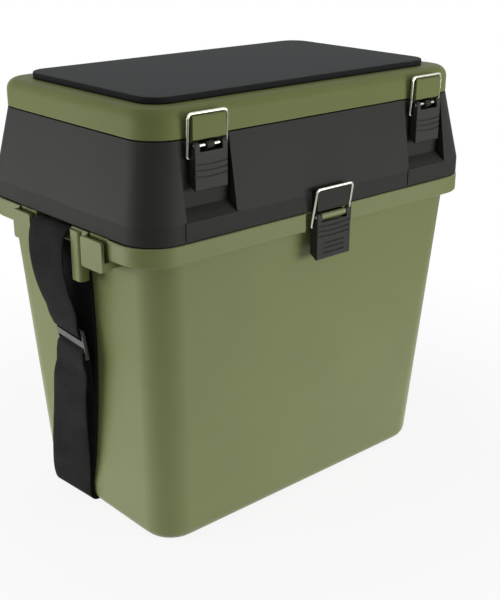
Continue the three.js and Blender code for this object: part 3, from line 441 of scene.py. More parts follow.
# %% [markdown]
# ## Pieces that ride on the frame
# Every finished piece rides on a body of the frame and stands in for one of its solids. A piece that was shaped with
# modifiers gets their result as its plain mesh first.


# %% Finish a piece
def apply_modifiers(piece):
    bpy.context.view_layer.update()
    graph = bpy.context.evaluated_depsgraph_get()
    finished = bpy.data.meshes.new_from_object(piece.evaluated_get(graph))
    piece.modifiers.clear()
    piece.data = finished


def settle(piece, body, node_name, note=""):
    """Lets a piece ride on its body in place of a solid."""
    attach(piece, body)
    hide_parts(node_name)
    print(piece.name, len(piece.data.polygons), "faces", note)
    return piece


def new_piece(name, work):
    """Turns a mesh under work into an object of the scene."""
    mesh = bpy.data.meshes.new(name)
    work.to_mesh(mesh)
    work.free()
    piece = bpy.data.objects.new(name, mesh)
    scene.collection.objects.link(piece)
    return piece


# %% [markdown]
# ## Real edges
# The solids of the frame have sharp edges and flat facets. A moulding has a small radius on every edge, which is what
# catches the light. A bevel gives it, but it needs to know which edges are real edges and which only divide a curved
# wall. The angle says that, but for the crease low on the tray section, which is as shallow as the facets of the
# corners. It is found by its height.


# %% Real edges
HEIGHT_SLACK = 0.05 * MM
CREASE_DEGREES = 4.0


def mark_edges(work, sharp_degrees, crease_heights):
    """Gives every real edge a bevel weight: the sharp ones, and the level ones at the given heights."""
    weight = work.edges.layers.float.new("bevel_weight_edge")
    marked = 0
    for edge in work.edges:
        if len(edge.link_faces) != 2:
            continue
        angle = math.degrees(edge.calc_face_angle(0.0))
        heights = [vertex.co.z for vertex in edge.verts]
        level = any(max(abs(z - crease) for z in heights) < HEIGHT_SLACK for crease in crease_heights)
        if angle > sharp_degrees or (level and angle > CREASE_DEGREES):
            edge[weight] = 1.0
            marked += 1
    return marked


# %% [markdown]
# ## Shells with soft edges
# Each shell is a copy of its solid whose facets are merged where they are flat, whose edges are rounded, and whose
# curved walls are shaded smoothly. Weighted normals let the large faces decide the shading, so a flat wall stays flat
# right up to its rounded edge.
# Between the lid and the tray section the real box shows a dark seam. The lid's lower edge is lifted by 0.8 mm, so
# that this seam is a real gap.


# %% Copy of a solid
WELD = 0.002 * MM
FLAT_WITHIN = math.radians(0.6)
PARTING_SLACK = 0.02 * MM


def working_copy(node_name, merged, parting):
    """A solid of the frame as a mesh to work on, with whole faces where it has flat facets."""
    work = bmesh.new()
    work.from_mesh(nodes[node_name].data)
    bmesh.ops.remove_doubles(work, verts=work.verts, dist=WELD)
    if parting:
        height, gap = parting
        for vertex in work.verts:
            if abs(vertex.co.z - height) < PARTING_SLACK:
                vertex.co.z += gap
    if merged:
        bmesh.ops.dissolve_limit(
            work,
            angle_limit=FLAT_WITHIN,
            verts=work.verts,
            edges=work.edges,
            delimit=set(),
        )
    return work


# %% Shell with soft edges
def softened(node_name, body, material, edge_mm, sharp_degrees=32.0, creases=(), merged=True, parting=None):
    """A copy of a solid of the frame with rounded edges and smooth curved walls, riding on its body."""
    work = working_copy(node_name, merged, parting)
    marked = mark_edges(work, sharp_degrees, creases)
    piece = new_piece(node_name + "_moulding", work)
    piece.data.materials.append(material)
    piece.data.polygons.foreach_set("use_smooth", [True] * len(piece.data.polygons))
    bevel = piece.modifiers.new("edges", "BEVEL")
    bevel.width = edge_mm * MM
    bevel.segments = 2
    bevel.limit_method = "WEIGHT"
    bevel.use_clamp_overlap = True
    bevel.miter_outer = "MITER_ARC"
    even = piece.modifiers.new("even_walls", "WEIGHTED_NORMAL")
    even.mode = "FACE_AREA"
    even.weight = 80
    apply_modifiers(piece)
    return settle(piece, body, node_name, marked)


# %% Tub, tray section and lid
TRAY_CREASE = 290.1 * MM
LID_PARTING = (351.3 * MM, 0.8 * MM)
softened("tub", "tub", olive_plastic, 0.35)
softened("tray_section", "tray", charcoal_plastic, 0.45, creases=(TRAY_CREASE,))
softened("lid", "lid", lid_plastic, 0.4, sharp_degrees=36.0, parting=LID_PARTING)
for side in ("left", "right"):
    softened("tray_divider_" + side, "tray", charcoal_plastic, 0.3)

# %% [markdown]
# ## Latch levers and pins
# Each lever is a small moulding with arched grip grooves. Its edges are rounded less than the shells', because it is a
# smaller part. The short grooves are islands in its face, and a merged face can't hold an island, so a lever keeps
# its facets. The pins are cut from wire, with a small rounding at each end.

# %% Latch levers and pins
for side in ("left", "right", "centre"):
    softened("latch_lever_" + side, "lever_" + side, lever_plastic, 0.2, merged=False)
    carrier = "tub" if side == "centre" else "tray"
    softened("latch_pin_" + side, carrier, wire_metal, 0.25)
for side in ("left", "right"):
    softened("lid_hinge_pin_" + side, "tray", wire_metal, 0.3)
    softened("tray_hinge_pin_" + side, "tub", wire_metal, 0.3)

# %% [markdown]
# ## Wire bails
# A bail is one length of round wire, bent four times: two hooked ends that turn in the lever, two legs, and the
# crossbar that pulls on the keeper. A real bend is an arc with a steady radius, so the line is made of straight runs
# joined by arcs, and a circle is carried along it. The upper bends are wider than the hooks.


# %% Bend a line
def bent_line(corners, radii, steps=8):
    """The points of a line through the corners, with each inner corner turned into an arc of its radius."""
    points = [corners[0]]
    for before, corner, after, radius in zip(corners, corners[1:], corners[2:], radii):
        back = (before - corner).normalized()
        on = (after - corner).normalized()
        half = back.angle(on) / 2
        reach = radius / math.tan(half)
        centre = corner + (back + on).normalized() * (radius / math.sin(half))
        start = corner + back * reach - centre
        turn_axis = start.cross(corner + on * reach - centre).normalized()
        swing = math.pi - 2 * half
        for i in range(steps + 1):
            points.append(centre + Matrix.Rotation(swing * i / steps, 3, turn_axis) @ start)
    points.append(corners[-1])
    return points


# %% Join rings into a skin
def skin_rings(work, rings):
    """Joins rings of points, each to the next, with smooth faces, and closes the first and the last ring."""
    count = len(rings[0])
    for first, second in zip(rings, rings[1:]):
        for k in range(count):
            n = (k + 1) % count
            work.faces.new((first[k], first[n], second[n], second[k])).smooth = True
    start = work.faces.new(list(reversed(rings[0])))
    end = work.faces.new(rings[-1])
    bmesh.ops.recalc_face_normals(work, faces=work.faces)
    return start, end


# %% Carry a circle along a line
def tube(name, points, radius, sides=16):
    """A closed round tube along points that lie in one plane."""
    work = bmesh.new()
    plane = (points[1] - points[0]).cross(points[len(points) // 2] - points[0]).normalized()
    rings = []
    for i, point in enumerate(points):
        forward = (points[min(i + 1, len(points) - 1)] - points[max(i - 1, 0)]).normalized()
        out = forward.cross(plane).normalized()
        angles = [2 * math.pi * k / sides for k in range(sides)]
        rings.append([work.verts.new(point + radius * (math.cos(a) * out + math.sin(a) * plane)) for a in angles])
    skin_rings(work, rings)
    return new_piece(name, work)


# %% [markdown]
# ## The three bails
# The crossbar of a shut bail hooks over its keeper. In the solids all three crossbars stand just in front of their
# keepers. Here those of the two upper bails lie over them, as in the photograph.

# %% Wire bails
WIRE_RADIUS = 1.2 * MM
HOOK_BEND = 2.2 * MM
TOP_BEND = 3.6 * MM


def wire_bail(side, x, y, z, half, end, reach_y, reach_z):
    """A bail about its axis at x, y, z, in millimetres.

    Its legs stand half to each side of x, its hooks end at end, and its crossbar lies at reach from the axis.
    """
    foot = Vector((0, y * MM, z * MM))
    top = foot + Vector((0, reach_y * MM, reach_z * MM))
    across = Vector((MM, 0, 0))
    corners = [
        foot + across * (x - end),
        foot + across * (x - half),
        top + across * (x - half),
        top + across * (x + half),
        foot + across * (x + half),
        foot + across * (x + end),
    ]
    line = bent_line(corners, [HOOK_BEND, TOP_BEND, TOP_BEND, HOOK_BEND])
    piece = tube("bail_wire_" + side, line, WIRE_RADIUS)
    piece.data.materials.append(wire_metal)
    return settle(piece, "bail_" + side, "latch_bail_" + side)


for side, x in (("left", -125), ("right", 125)):
    wire_bail(side, x, y=-111.2, z=337.2, half=18.8, end=13.0, reach_y=-1.8, reach_z=33.0)
wire_bail("centre", x=0, y=-119.4, z=261.6, half=21.1, end=17.0, reach_y=-5.9, reach_z=33.1)

# %% [markdown]
# ## The foam pad
# The pad is die-cut from a sheet of foam and glued to the lid. It isn't stuffed, so it needs no cloth simulation:
# it is a slab whose cut edge is soft and rounded, a little fuller in the middle.
# It is built as rings that follow its outline, from the glued underside round the edge to the middle of the top, so
# that the round edge gets many faces and the flat top stays smooth.


# %% Outline and profile of the pad
def outline(half_x, half_y, radius, steps=12, straights=14):
    """Points round a rectangle with round corners, with some along each straight side as well."""

    def on_corner(corner, part):
        sign_x = 1 if corner in (0, 3) else -1
        sign_y = 1 if corner < 2 else -1
        angle = (corner + part) * math.pi / 2
        x = sign_x * (half_x - radius) + radius * math.cos(angle)
        return Vector((x, sign_y * (half_y - radius) + radius * math.sin(angle), 0))

    points = []
    for corner in range(4):
        points += [on_corner(corner, i / steps) for i in range(steps + 1)]
        here, there = points[-1], on_corner((corner + 1) % 4, 0)
        points += [here.lerp(there, i / straights) for i in range(1, straights)]
    return points


def pad_profile(bottom, thickness, crown, round_edge, crown_width=60, steps=8):
    """Inset and height of each ring: the glued underside, the round edge, and the crown of the top."""
    profile = [(2.6, bottom), (0.7, bottom), (0.2, bottom + 0.35), (0.0, bottom + 1.0)]
    for i in range(steps + 1):
        angle = i / steps * math.pi / 2
        inset = round_edge * (1 - math.cos(angle))
        profile.append((inset, bottom + thickness - round_edge * (1 - math.sin(angle))))
    top = bottom + thickness
    for i in range(1, steps + 1):
        part = i / steps
        profile.append((round_edge + part * crown_width, top + crown * math.sin(part * math.pi / 2)))
    return profile


# %% Foam pad
def foam_pad(half_x=157.6, half_y=88.4, corner=18.0, bottom=374.5, thickness=5.2, crown=0.5, round_edge=1.3):
    work = bmesh.new()
    rings = []
    for inset, z in pad_profile(bottom, thickness, crown, round_edge):
        # An inner ring keeps a small corner of its own, so that it never folds over.
        radius = max(corner - inset, 3.0 + 0.02 * inset)
        ring = outline(half_x - inset, half_y - inset, radius)
        rings.append([work.verts.new(Vector((p.x, p.y, z)) * MM) for p in ring])
    _, top_face = skin_rings(work, rings)
    top_face.smooth = True
    return new_piece("foam_pad", work)


pad = foam_pad()
pad.data.materials.append(foam)
settle(pad, "lid", "seat_pad")

# %% [markdown]
# ## The strap's course
# The webbing is one loop in two layers. The inner layer lies on the end wall of the tub, goes over the strap bar, and
# comes down outside as the outer layer, which bows away from the wall, threads the slider and turns in under the base.
# Its sizes follow from the tub's own sizes and from the webbing's. All are in millimetres, and angles in degrees.

# %% Sizes of the strap
WIDTH, THICK = 50.0, 1.5
CLEAR = 0.3  # air between the webbing and what it passes
COURSE_Z = 165.0  # where the outer layer's line comes nearest to the wall
SLIDER_Z, SLIDER_Y, SLIDER_HALF = 169.0, 2.5, 13.5  # the slider's middle, and half its height
TURN, TILT, BASE_TURN = 9.0, 4.0, -9.0  # at the slider, and the turn back near the base
TOP_Y, INNER_TOP_Y, BASE_Y = 3.5, 1.0, 34.0  # the strap's middle at the bar, and under the base
THREAD = 2.55  # how far the webbing steps in and out in the slider
BAR_X, BAR_Z, BAR_HALF = 187.0, 268.0, 2.5  # the strap bar
BAR_RADIUS = BAR_HALF + CLEAR + THICK / 2  # the webbing's middle line over the bar
BAR_FOOT_Z = 260.0  # where the inner layer leaves the bar
CORNER_X, CORNER_Z, CORNER_RADIUS = 159.8, 6.0, 2.05  # the inner layer's bend under the base
FOLD_X, FOLD_Z, FOLD_RADIUS = 158.2, 12.15, 10.0  # the outer layer's wider bend round it
INNER_OFF = CLEAR + THICK / 2 + 0.1  # the inner layer's middle line off the wall
INNER_HIGH, INNER_LOW = 232.1, 20.0  # where it lies on the wall
# How far the outer layer's line stands off the wall at the slider, where the turned webbing still clears the inner one.
STAND = INNER_OFF + THICK + CLEAR + THREAD + WIDTH / 2 * math.sin(math.radians(TURN))
BOW, BULGE = 4.3, 12.3  # how far the outer layer bows out below the slider, and beyond the bar above it
WALL_TOP_X, WALL_TOP_Z, WALL_LEAN = 176, 259.1, 15.4  # the tub's end wall under its rim


def wall_x(z):
    """The outside of the tub's end wall at height z."""
    return WALL_TOP_X - WALL_LEAN * (1 - z / WALL_TOP_Z)


def mix(a, b, part):
    return a + (b - a) * part


print("the strap stands", round(STAND, 1), "mm off the wall at its slider")

# %% [markdown]
# ## A smooth curve through points
# The outer layer is drawn as a smooth curve through a few points. A Catmull-Rom spline passes through its points, so
# it is easy to aim, and its centripetal form makes no loops where they lie close.


# %% A smooth curve through points
def catmull_rom(points, per_span=24):
    """Points along a centripetal Catmull-Rom spline that passes through every given point."""
    padded = [2 * points[0] - points[1], *points, 2 * points[-1] - points[-2]]
    out = []
    for p0, p1, p2, p3 in zip(padded, padded[1:], padded[2:], padded[3:]):
        d0, d1, d2 = ((b - a).length ** 0.5 for a, b in ((p0, p1), (p1, p2), (p2, p3)))
        t1 = ((p1 - p0) / d0 - (p2 - p0) / (d0 + d1) + (p2 - p1) / d1) * d1
        t2 = ((p2 - p1) / d1 - (p3 - p1) / (d1 + d2) + (p3 - p2) / d2) * d1
        for i in range(per_span):
            t = i / per_span
            cubic = (2 * p1 - 2 * p2 + t1 + t2) * t**3 + (-3 * p1 + 3 * p2 - 2 * t1 - t2) * t**2
            out.append(cubic + t1 * t + p1)
    return [*out, points[-1]]


def evenly(points, spacing):
    """The same line with its points at an even spacing."""
    lengths = [0.0]
    for a, b in zip(points, points[1:]):
        lengths.append(lengths[-1] + (b - a).length)
    count = max(2, round(lengths[-1] / spacing))
    out, k = [], 0
    for i in range(count + 1):
        goal = lengths[-1] * i / count
        while k < len(points) - 2 and lengths[k + 1] < goal:
            k += 1
        part = (goal - lengths[k]) / max(1e-9, lengths[k + 1] - lengths[k])
        out.append(points[k].lerp(points[k + 1], part))
    return out


# %% The outer layer's line
# Each pair is a part of the way up, and the share of the bow or the bulge there.
BOW_SHARES = ((0.27, 0.25), (0.55, 0.7), (0.82, 1), (1, 0.5))
BULGE_SHARES = ((0, 0.1), (0.26, 0.53), (0.52, 0.87), (0.78, 1), (0.955, 0.9))


def outer_line():
    """The middle line of the outer layer on the right, from the bottom corner up to the top of the bar."""
    low, high = COURSE_Z - SLIDER_HALF, COURSE_Z + SLIDER_HALF
    lean = SLIDER_HALF * math.tan(math.radians(TILT))
    slider_x = wall_x(COURSE_Z) + STAND
    fold_end = FOLD_X + FOLD_RADIUS
    points = [Vector((fold_end, BASE_Y, FOLD_Z)), Vector((fold_end + 0.7, BASE_Y, FOLD_Z + 6))]
    for part, share in BOW_SHARES:
        z = mix(CORNER_Z, low, part)
        points.append(Vector((wall_x(z) + STAND + BOW * share, mix(BASE_Y, SLIDER_Y - lean, part), z)))
    points.append(Vector((slider_x, SLIDER_Y, COURSE_Z)))
    for part, share in BULGE_SHARES:
        x = mix(slider_x, BAR_X + BULGE, share)
        points.append(Vector((x, mix(SLIDER_Y + lean, TOP_Y, part), mix(high, BAR_Z, part))))
    points.append(Vector((BAR_X + BULGE / 2, TOP_Y, BAR_Z + BAR_RADIUS * 0.9)))
    points.append(Vector((BAR_X, TOP_Y, BAR_Z + BAR_RADIUS)))
    return evenly(catmull_rom(points), 1.6)


outer = outer_line()
at_slider = next(i for i, point in enumerate(outer) if point.z >= SLIDER_Z)
print("outer layer on one end:", round(sum((b - a).length for a, b in zip(outer, outer[1:]))), "mm")

# %% [markdown]
# ## How the webbing is turned
# Webbing bends easily one way and hardly at all the other way, so its width stays level almost everywhere. At the
# slider it is turned a little towards the front, and its rear edge hangs lower. Near the base it turns back again.


# %% Turn and tilt
def swell(z, height, below, above):
    """A smooth rise to 1 at a height and back to 0."""
    reach = (z - height) / (below if z < height else above)
    return math.cos(reach * math.pi / 2) ** 2 if abs(reach) < 1 else 0.0


def turn_at(z):
    slider_part = TURN * swell(z, SLIDER_Z, SLIDER_Z / 4, SLIDER_Z / 4)
    return math.radians(slider_part + BASE_TURN * swell(z, SLIDER_Z / 5, SLIDER_Z / 2.4, SLIDER_Z / 2))


def tilt_at(z):
    return math.radians(TILT * swell(z, SLIDER_Z, SLIDER_Z / 4, SLIDER_Z / 4))


def webbing_frame(tangent, turn_angle=0.0, tilt_angle=0.0):
    """The directions along the webbing, across it, and out of its inner face."""
    width = Vector((-math.sin(turn_angle), math.cos(turn_angle), -math.tan(tilt_angle))).normalized()
    along = (tangent - width * width.dot(tangent)).normalized()
    return along, width, along.cross(width).normalized()


def webbing_at_slider():
    """The webbing's three directions where the slider sits, on the right."""
    tangent = outer[at_slider + 1] - outer[at_slider - 1]
    return webbing_frame(tangent, turn_at(SLIDER_Z), tilt_at(SLIDER_Z))


# %% [markdown]
# ## Through the slider
# In the slider the webbing goes over the lower bar, behind the middle one and over the upper one. So it steps back
# within 9 mm of the slider's middle, stands in front at the outer bars, and is on its own line again 30 mm away.

# %% Threading
BEHIND_MIDDLE_BAR, IN_FRONT_OF_OUTER_BARS = 3.5, 9.0
LEAVING_SLIDER, ON_ITS_LINE = 15.0, 29.7


def smooth_step(a, b, value):
    part = min(1.0, max(0.0, (value - a) / (b - a)))
    return part * part * (3 - 2 * part)


def threading(distance):
    """How far the webbing stands in front of its own line, at a distance from the middle of the slider."""
    away = abs(distance)
    through = mix(-THREAD, THREAD, smooth_step(BEHIND_MIDDLE_BAR, IN_FRONT_OF_OUTER_BARS, away))
    return mix(through, 0.0, smooth_step(LEAVING_SLIDER, ON_ITS_LINE, away))


def threaded_line():
    """The outer line where it weaves through the slider."""
    travelled = [0.0]
    for before, point in zip(outer, outer[1:]):
        travelled.append(travelled[-1] + (point - before).length)
    middle = travelled[at_slider]
    out = []
    for i, (s, point) in enumerate(zip(travelled, outer)):
        tangent = outer[min(i + 1, len(outer) - 1)] - outer[max(i - 1, 0)]
        inward = webbing_frame(tangent, turn_at(point.z), tilt_at(point.z))[2]
        out.append(point - inward * threading(s - middle))
    return out


print("the webbing steps", THREAD, "mm in and out of its line in the slider")

# %% [markdown]
# ## Lay the webbing along its course
# Each section of the webbing is a flat shape with round edges. It is carried along the course, and the map of the
# weave is written at the same time: across the strap and along it, in metres.

# %% The cross-section
EDGE_STEPS, FLAT_STEPS = 4, 8


def webbing_section(width=WIDTH, thick=THICK):
    """Points round the section as (across, through), with round selvedges."""
    radius = thick / 2
    flat = width / 2 - radius
    points = []
    for sign in (1, -1):
        points += [(sign * (flat - 2 * flat * i / FLAT_STEPS), sign * radius) for i in range(FLAT_STEPS + 1)]
        for i in range(1, EDGE_STEPS):
            angle = math.pi / 2 + math.pi * i / EDGE_STEPS
            points.append((sign * (-flat + radius * math.cos(angle)), sign * radius * math.sin(angle)))
    return points


section = webbing_section()
print("webbing section:", len(section), "points")


# %% A ribbon from its sections
def ribbon(work, weave, stations, shape, loop_length):
    """Adds a ribbon through stations of (point, across, inward, distance). It is a loop if a loop's length is given."""
    rings = []
    for point, across, inward, _ in stations:
        rings.append([work.verts.new((point + across * a + inward * b) * MM) for a, b in shape])
    count = len(shape)
    walk = [0.0]
    for here, there in zip(shape, [*shape[1:], shape[0]]):
        walk.append(walk[-1] + math.dist(here, there))
    distances = [station[3] for station in stations]
    if loop_length:
        rings.append(rings[0])
        distances.append(loop_length)
    for first, second, start, stop in zip(rings, rings[1:], distances, distances[1:]):
        for k in range(count):
            n = (k + 1) % count
            face = work.faces.new((first[k], first[n], second[n], second[k]))
            face.smooth = True
            corners = ((walk[k], start), (walk[k + 1], start), (walk[k + 1], stop), (walk[k], stop))
            for loop, (u, v) in zip(face.loops, corners):
                loop[weave].uv = (u * MM, v * MM)
    if not loop_length:
        work.faces.new(list(reversed(rings[0])))
        work.faces.new(rings[-1])


# %% Sections along a line
def line_stations(points, turns, tilts):
    """Sections of the webbing along a line on the right: the point, the way across it and the way out of it."""
    out = []
    for i, (point, turn_angle, tilt_angle) in enumerate(zip(points, turns, tilts)):
        tangent = points[min(i + 1, len(points) - 1)] - points[max(i - 1, 0)]
        _, width, inward = webbing_frame(tangent, turn_angle, tilt_angle)
        out.append((point, width, inward))
    return out


def arc(centre_x, centre_z, radius, y, first, last, steps):
    """Points round an arc in the plane of X and Z, in degrees from the direction of X."""
    points = []
    for i in range(steps + 1):
        angle = math.radians(mix(first, last, i / steps))
        points.append(Vector((centre_x + radius * math.cos(angle), y, centre_z + radius * math.sin(angle))))
    return points


def measured(stations, closed):
    """Adds to each section how far along the webbing it lies."""
    out, travelled = [], 0.0
    for i, (point, across, inward) in enumerate(stations):
        if i:
            travelled += (point - stations[i - 1][0]).length
        out.append((point, across, inward, travelled))
    if closed:
        travelled += (stations[0][0] - stations[-1][0]).length
    return out, travelled


# %% [markdown]
# ## Both ends of the strap
# The two ends are the same line, mirrored, but only the left one has a slider, so only that one is turned, tilted and
# threaded. The inner layer drifts to the rear on its way down, slowly at first.

# %% Both ends of the strap
INNER_STEPS, DRIFT = 20, 1.9


def inner_line():
    """The middle line of the inner layer on the right, from the top of the bar to the corner under the base."""
    line = arc(BAR_X, BAR_Z, BAR_RADIUS, TOP_Y, 105, 180, 5)
    line.append(Vector((BAR_X - BAR_RADIUS, TOP_Y, BAR_FOOT_Z)))
    for i in range(INNER_STEPS + 1):
        part = i / INNER_STEPS
        z = mix(INNER_HIGH, INNER_LOW, part)
        line.append(Vector((wall_x(z) + INNER_OFF, mix(INNER_TOP_Y, BASE_Y, part**DRIFT), z)))
    return line + arc(CORNER_X, CORNER_Z, CORNER_RADIUS, BASE_Y, 0, -90, 6)


def strap_end(side):
    """All the sections at one end of the box, from the outer bottom corner over the bar to the inner one."""
    threaded = side < 0
    corner = arc(FOLD_X, FOLD_Z, FOLD_RADIUS, BASE_Y, -90, -8, 9)
    inner = inner_line()
    turns, tilts = [0.0] * len(corner + outer), [0.0] * len(corner + outer)
    if threaded:
        turns = [turn_at(FOLD_Z) * i / len(corner) for i in range(len(corner))] + [turn_at(p.z) for p in outer]
        tilts = [0.0] * len(corner) + [tilt_at(p.z) for p in outer]
    line = corner + (threaded_line() if threaded else outer) + inner
    stations = line_stations(line, turns + [0.0] * len(inner), tilts + [0.0] * len(inner))
    mirror = Vector((side, 1, 1))
    return [tuple(v * mirror for v in station) for station in stations]


left_end, right_end = strap_end(-1), strap_end(1)
loop, loop_length = measured(left_end + right_end[::-1], closed=True)
print("webbing loop:", len(loop), "sections,", round(loop_length), "mm")

# %% [markdown]
# ## The free end
# The webbing's free end comes out behind the slider's middle bar and hangs between the two layers. Only its edge shows,
# as a narrow dark band in front of the inner layer, because it has drifted a little to the front.

# %% Free end of the strap
TAIL, TAIL_DRIFT, TAIL_STEPS = 52.0, 18.0, 26
TAIL_START = -1  # it starts this far below the slider's middle, so a little above it
TAIL_WIDTH, TAIL_THICK = WIDTH - 0.4, THICK - 0.3
TO_THE_LEFT = Vector((-1, 1, 1))


def free_end():
    """Sections of the free end on the left, from the slider's middle bar downwards."""
    along, width, inward = webbing_at_slider()
    stations = []
    for i in range(TAIL_STEPS + 1):
        down = TAIL_START + TAIL * i / TAIL_STEPS
        away = max(0.0, down - SLIDER_HALF) / (TAIL - SLIDER_HALF)
        across = (width - inward * math.tan(turn_at(SLIDER_Z)) * away).normalized()
        point = outer[at_slider] - along * down + inward * THREAD + width * TAIL_DRIFT * away
        stations.append(tuple(v * TO_THE_LEFT for v in (point, across, inward)))
    return stations


tail, tail_length = measured(free_end(), closed=False)
print("free end:", round(tail_length), "mm")

# %% [markdown]
# ## The strap as one piece
# The loop and its free end are one mesh and one sheet of webbing. Its flat size is its width and the whole length that
# was measured along the course. The free end starts inside the loop, behind the slider's middle bar. It is made a
# little thinner and narrower, so that its start stays hidden in there.

# %% Webbing strap
work = bmesh.new()
weave_map = work.loops.layers.uv.new("weave")
ribbon(work, weave_map, loop, section, loop_length)
ribbon(work, weave_map, tail, webbing_section(TAIL_WIDTH, TAIL_THICK), None)
bmesh.ops.recalc_face_normals(work, faces=work.faces)
strap = new_piece("webbing_strap", work)
strap.data.materials.append(webbing)
settle(strap, "tub", "carry_strap")

# %% [markdown]
# ## The slider
# A tri-glide is a small moulded frame with three bars. It is laid out as a grid of faces with two windows left out,
# given its thickness, and then its corners and all its edges are rounded.


# %% Slider
def slider_frame(half_width=27.9, side_bar=2.1, bars=(3.0, 9.5, 13.5), thick=2.6):
    """The slider flat on its back. The bars end at the given distances from the middle."""
    work = bmesh.new()
    inner = half_width - side_bar
    columns = [-half_width, -inner, inner, half_width]
    rows = [-bars[2], -bars[1], -bars[0], bars[0], bars[1], bars[2]]
    grid = [[work.verts.new((x * MM, y * MM, -thick / 2 * MM)) for x in columns] for y in rows]
    for r in range(len(rows) - 1):
        for c in range(len(columns) - 1):
            window = c == 1 and r in (1, 3)
            if not window:
                work.faces.new((grid[r][c], grid[r][c + 1], grid[r + 1][c + 1], grid[r + 1][c]))
    raised = bmesh.ops.extrude_face_region(work, geom=work.faces[:])
    moved = [v for v in raised["geom"] if isinstance(v, bmesh.types.BMVert)]
    bmesh.ops.translate(work, verts=moved, vec=(0, 0, thick * MM))
    bmesh.ops.recalc_face_normals(work, faces=work.faces)
    far = Vector((half_width, bars[2])) * MM
    posts = [
        edge
        for edge in work.edges
        if all(abs(abs(v.co.x) - far.x) < 1e-6 and abs(abs(v.co.y) - far.y) < 1e-6 for v in edge.verts)
    ]
    bmesh.ops.bevel(work, geom=posts, offset=2.4 * MM, segments=5, profile=0.5, affect="EDGES")
    return new_piece("slider_frame", work)


def slider_place():
    """The slider's own axes: across the webbing, up along it, and in towards the wall."""
    along, width, _ = webbing_at_slider()
    along, width, point = along * TO_THE_LEFT, width * TO_THE_LEFT, outer[at_slider] * TO_THE_LEFT * MM
    axes = Matrix((width, along, width.cross(along))).transposed().to_4x4()
    return Matrix.Translation(point) @ axes


# %% Round and place the slider
slider = slider_frame()
slider.data.transform(slider_place())
slider.data.materials.append(slider_plastic)
slider.data.polygons.foreach_set("use_smooth", [True] * len(slider.data.polygons))
edges = slider.modifiers.new("edges", "BEVEL")
edges.width = 0.6 * MM
edges.segments = 3
edges.limit_method = "ANGLE"
edges.angle_limit = math.radians(40)
slider.modifiers.new("even_faces", "WEIGHTED_NORMAL")
apply_modifiers(slider)
settle(slider, "tub", "strap_slider")

# %% [markdown]
# ## Studio
# Two large soft lamps light the box, one behind its left end and one in front on its right, and a third hangs above.
# Each of the two walls in view faces one of them, the corner between the walls faces neither and is the darkest, and
# the latches shade the front to their left. The two low lamps are aimed a little below the box.


# %% Lamps
def softbox(name, place, target, size, spread, power):
    """A square lamp that faces a target. A smaller spread keeps more of its light on what it is aimed at."""
    lamp = bpy.data.lights.new(name, "AREA")
    lamp.shape = "SQUARE"
    lamp.size = size
    lamp.spread = math.radians(spread)
    lamp.energy = power
    box = bpy.data.objects.new(name, lamp)
    box.location = place
    box.rotation_euler = (Vector(target) - Vector(place)).to_track_quat("-Z", "Y").to_euler()
    scene.collection.objects.link(box)
    print(name, "at", place)
    return box


UNDER_THE_BOX = (0, 0, -0.2)
softbox("softbox_left", (-1.02, 0.62, 0.05), UNDER_THE_BOX, size=0.8, spread=100, power=5.3)
softbox("softbox_front_right", (0.85, -1.55, 0.05), UNDER_THE_BOX, size=1.1, spread=100, power=10.2)
softbox("softbox_above", (0.0, 0.0, 3.0), (0, 0, 0.3), size=1.4, spread=180, power=10.0)

# %% [markdown]
# ## Floor
# The floor lies 0.2 mm under the box, so that the two never fight for the same pixels. It is pale and matt near the
# box, where it lights the walls from below and takes the shadow. For the camera most of it is plain white, all of it
# from 0.6 m on. For mirror rays it glows white near the box and dimmer further away: a painted reflection that
# lightens the lower walls of the plastic.

# %% Floor
FLOOR_HALF = 9
FLOOR_CORNERS = [(x * FLOOR_HALF, y * FLOOR_HALF, 0) for x, y in ((-1, -1), (1, -1), (1, 1), (-1, 1))]
WHITE = (1.0, 1.0, 1.0, 1.0)
floor_mesh = bpy.data.meshes.new("floor")
floor_mesh.from_pydata(FLOOR_CORNERS, [], [(0, 1, 2, 3)])
floor = bpy.data.objects.new("floor", floor_mesh)
floor.location.z = -0.2 * MM
scene.collection.objects.link(floor)
print("floor", 2 * FLOOR_HALF, "m wide")


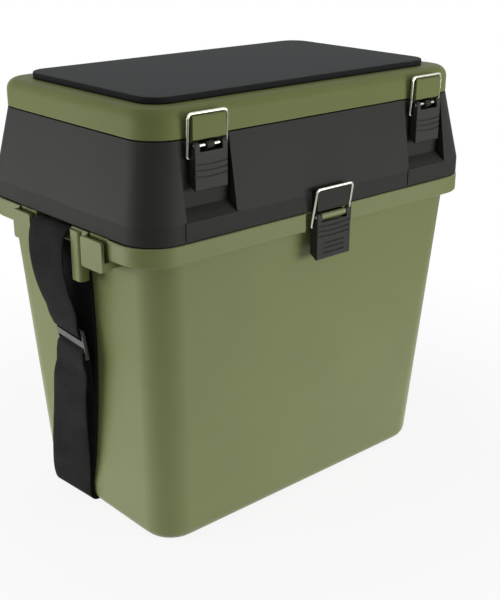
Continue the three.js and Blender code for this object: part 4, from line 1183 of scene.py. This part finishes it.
# %% The floor's finish
def pale_floor():
    """A pale floor that keeps the shadow near the object and fades into the white background further away."""
    material = new_material("pale_floor")
    place = add(material, "ShaderNodeTexCoord")
    away = add(material, "ShaderNodeVectorMath", {"operation": "LENGTH"}, {"Vector": place.outputs["Object"]})
    # How pale the matt sheet is, by the distance from the box in metres.
    pale = add(
        material,
        "ShaderNodeMapRange",
        {"From Min": 0.45, "From Max": 1.1, "To Min": 0.95, "To Max": 0.3},
        {"Value": away.outputs["Value"]},
    )
    # How much plain white the camera sees of it.
    seen_white = add(
        material,
        "ShaderNodeMapRange",
        {"From Min": 0.25, "From Max": 0.6, "To Min": 0.88, "To Max": 1.0},
        {"Value": away.outputs["Value"]},
    )
    # How much white a mirror ray sees of it: near the box the floor glows, a painted reflection on the plastic.
    mirrored_glow = add(
        material,
        "ShaderNodeMapRange",
        {"From Min": 0.25, "From Max": 0.75, "To Min": 0.95, "To Max": 0.1},
        {"Value": away.outputs["Value"]},
    )
    ray = add(material, "ShaderNodeLightPath")
    seen = add(
        material,
        "ShaderNodeMath",
        {"operation": "MULTIPLY"},
        {0: ray.outputs["Is Camera Ray"], 1: seen_white.outputs["Result"]},
    )
    seen_or_mirrored = add(
        material,
        "ShaderNodeMath",
        {"operation": "MULTIPLY_ADD"},
        {0: ray.outputs["Is Glossy Ray"], 1: mirrored_glow.outputs["Result"], 2: seen.outputs[0]},
    )
    matt = add(material, "ShaderNodeBsdfDiffuse", links={"Color": pale.outputs["Result"]})
    white = add(material, "ShaderNodeEmission", {"Color": WHITE, "Strength": 1.0})
    both = add(
        material,
        "ShaderNodeMixShader",
        links={"Fac": seen_or_mirrored.outputs[0], 1: matt.outputs[0], 2: white.outputs[0]},
    )
    return close(material, both)


floor_mesh.materials.append(pale_floor())

# %% [markdown]
# ## Sky
# The world lights the object weakly, so that the lamps shape it, but is plain white where it is seen, mirrored or seen
# through something. The Light Path node tells these rays apart.

# %% Sky
world = bpy.data.worlds.new("studio")
scene.world = world
world.use_nodes = True
world.node_tree.nodes.clear()


def white_to_the_eye(strength):
    """A world that lights the object at one strength, and is white where it is seen or mirrored."""
    ray = add(world, "ShaderNodeLightPath")
    straight = add(
        world,
        "ShaderNodeMath",
        {"operation": "MAXIMUM"},
        {0: ray.outputs["Is Camera Ray"], 1: ray.outputs["Is Transmission Ray"]},
    )
    seen = add(
        world,
        "ShaderNodeMath",
        {"operation": "MAXIMUM"},
        {0: straight.outputs[0], 1: ray.outputs["Is Glossy Ray"]},
    )
    level = add(world, "ShaderNodeMapRange", {"To Min": strength, "To Max": 1.0}, {"Value": seen.outputs[0]})
    light = add(world, "ShaderNodeBackground", {"Color": WHITE}, {"Strength": level.outputs["Result"]})
    add(world, "ShaderNodeOutputWorld", links={"Surface": light.outputs[0]})
    print("world strength", strength)


white_to_the_eye(0.25)
scene.view_settings.view_transform = "Standard"
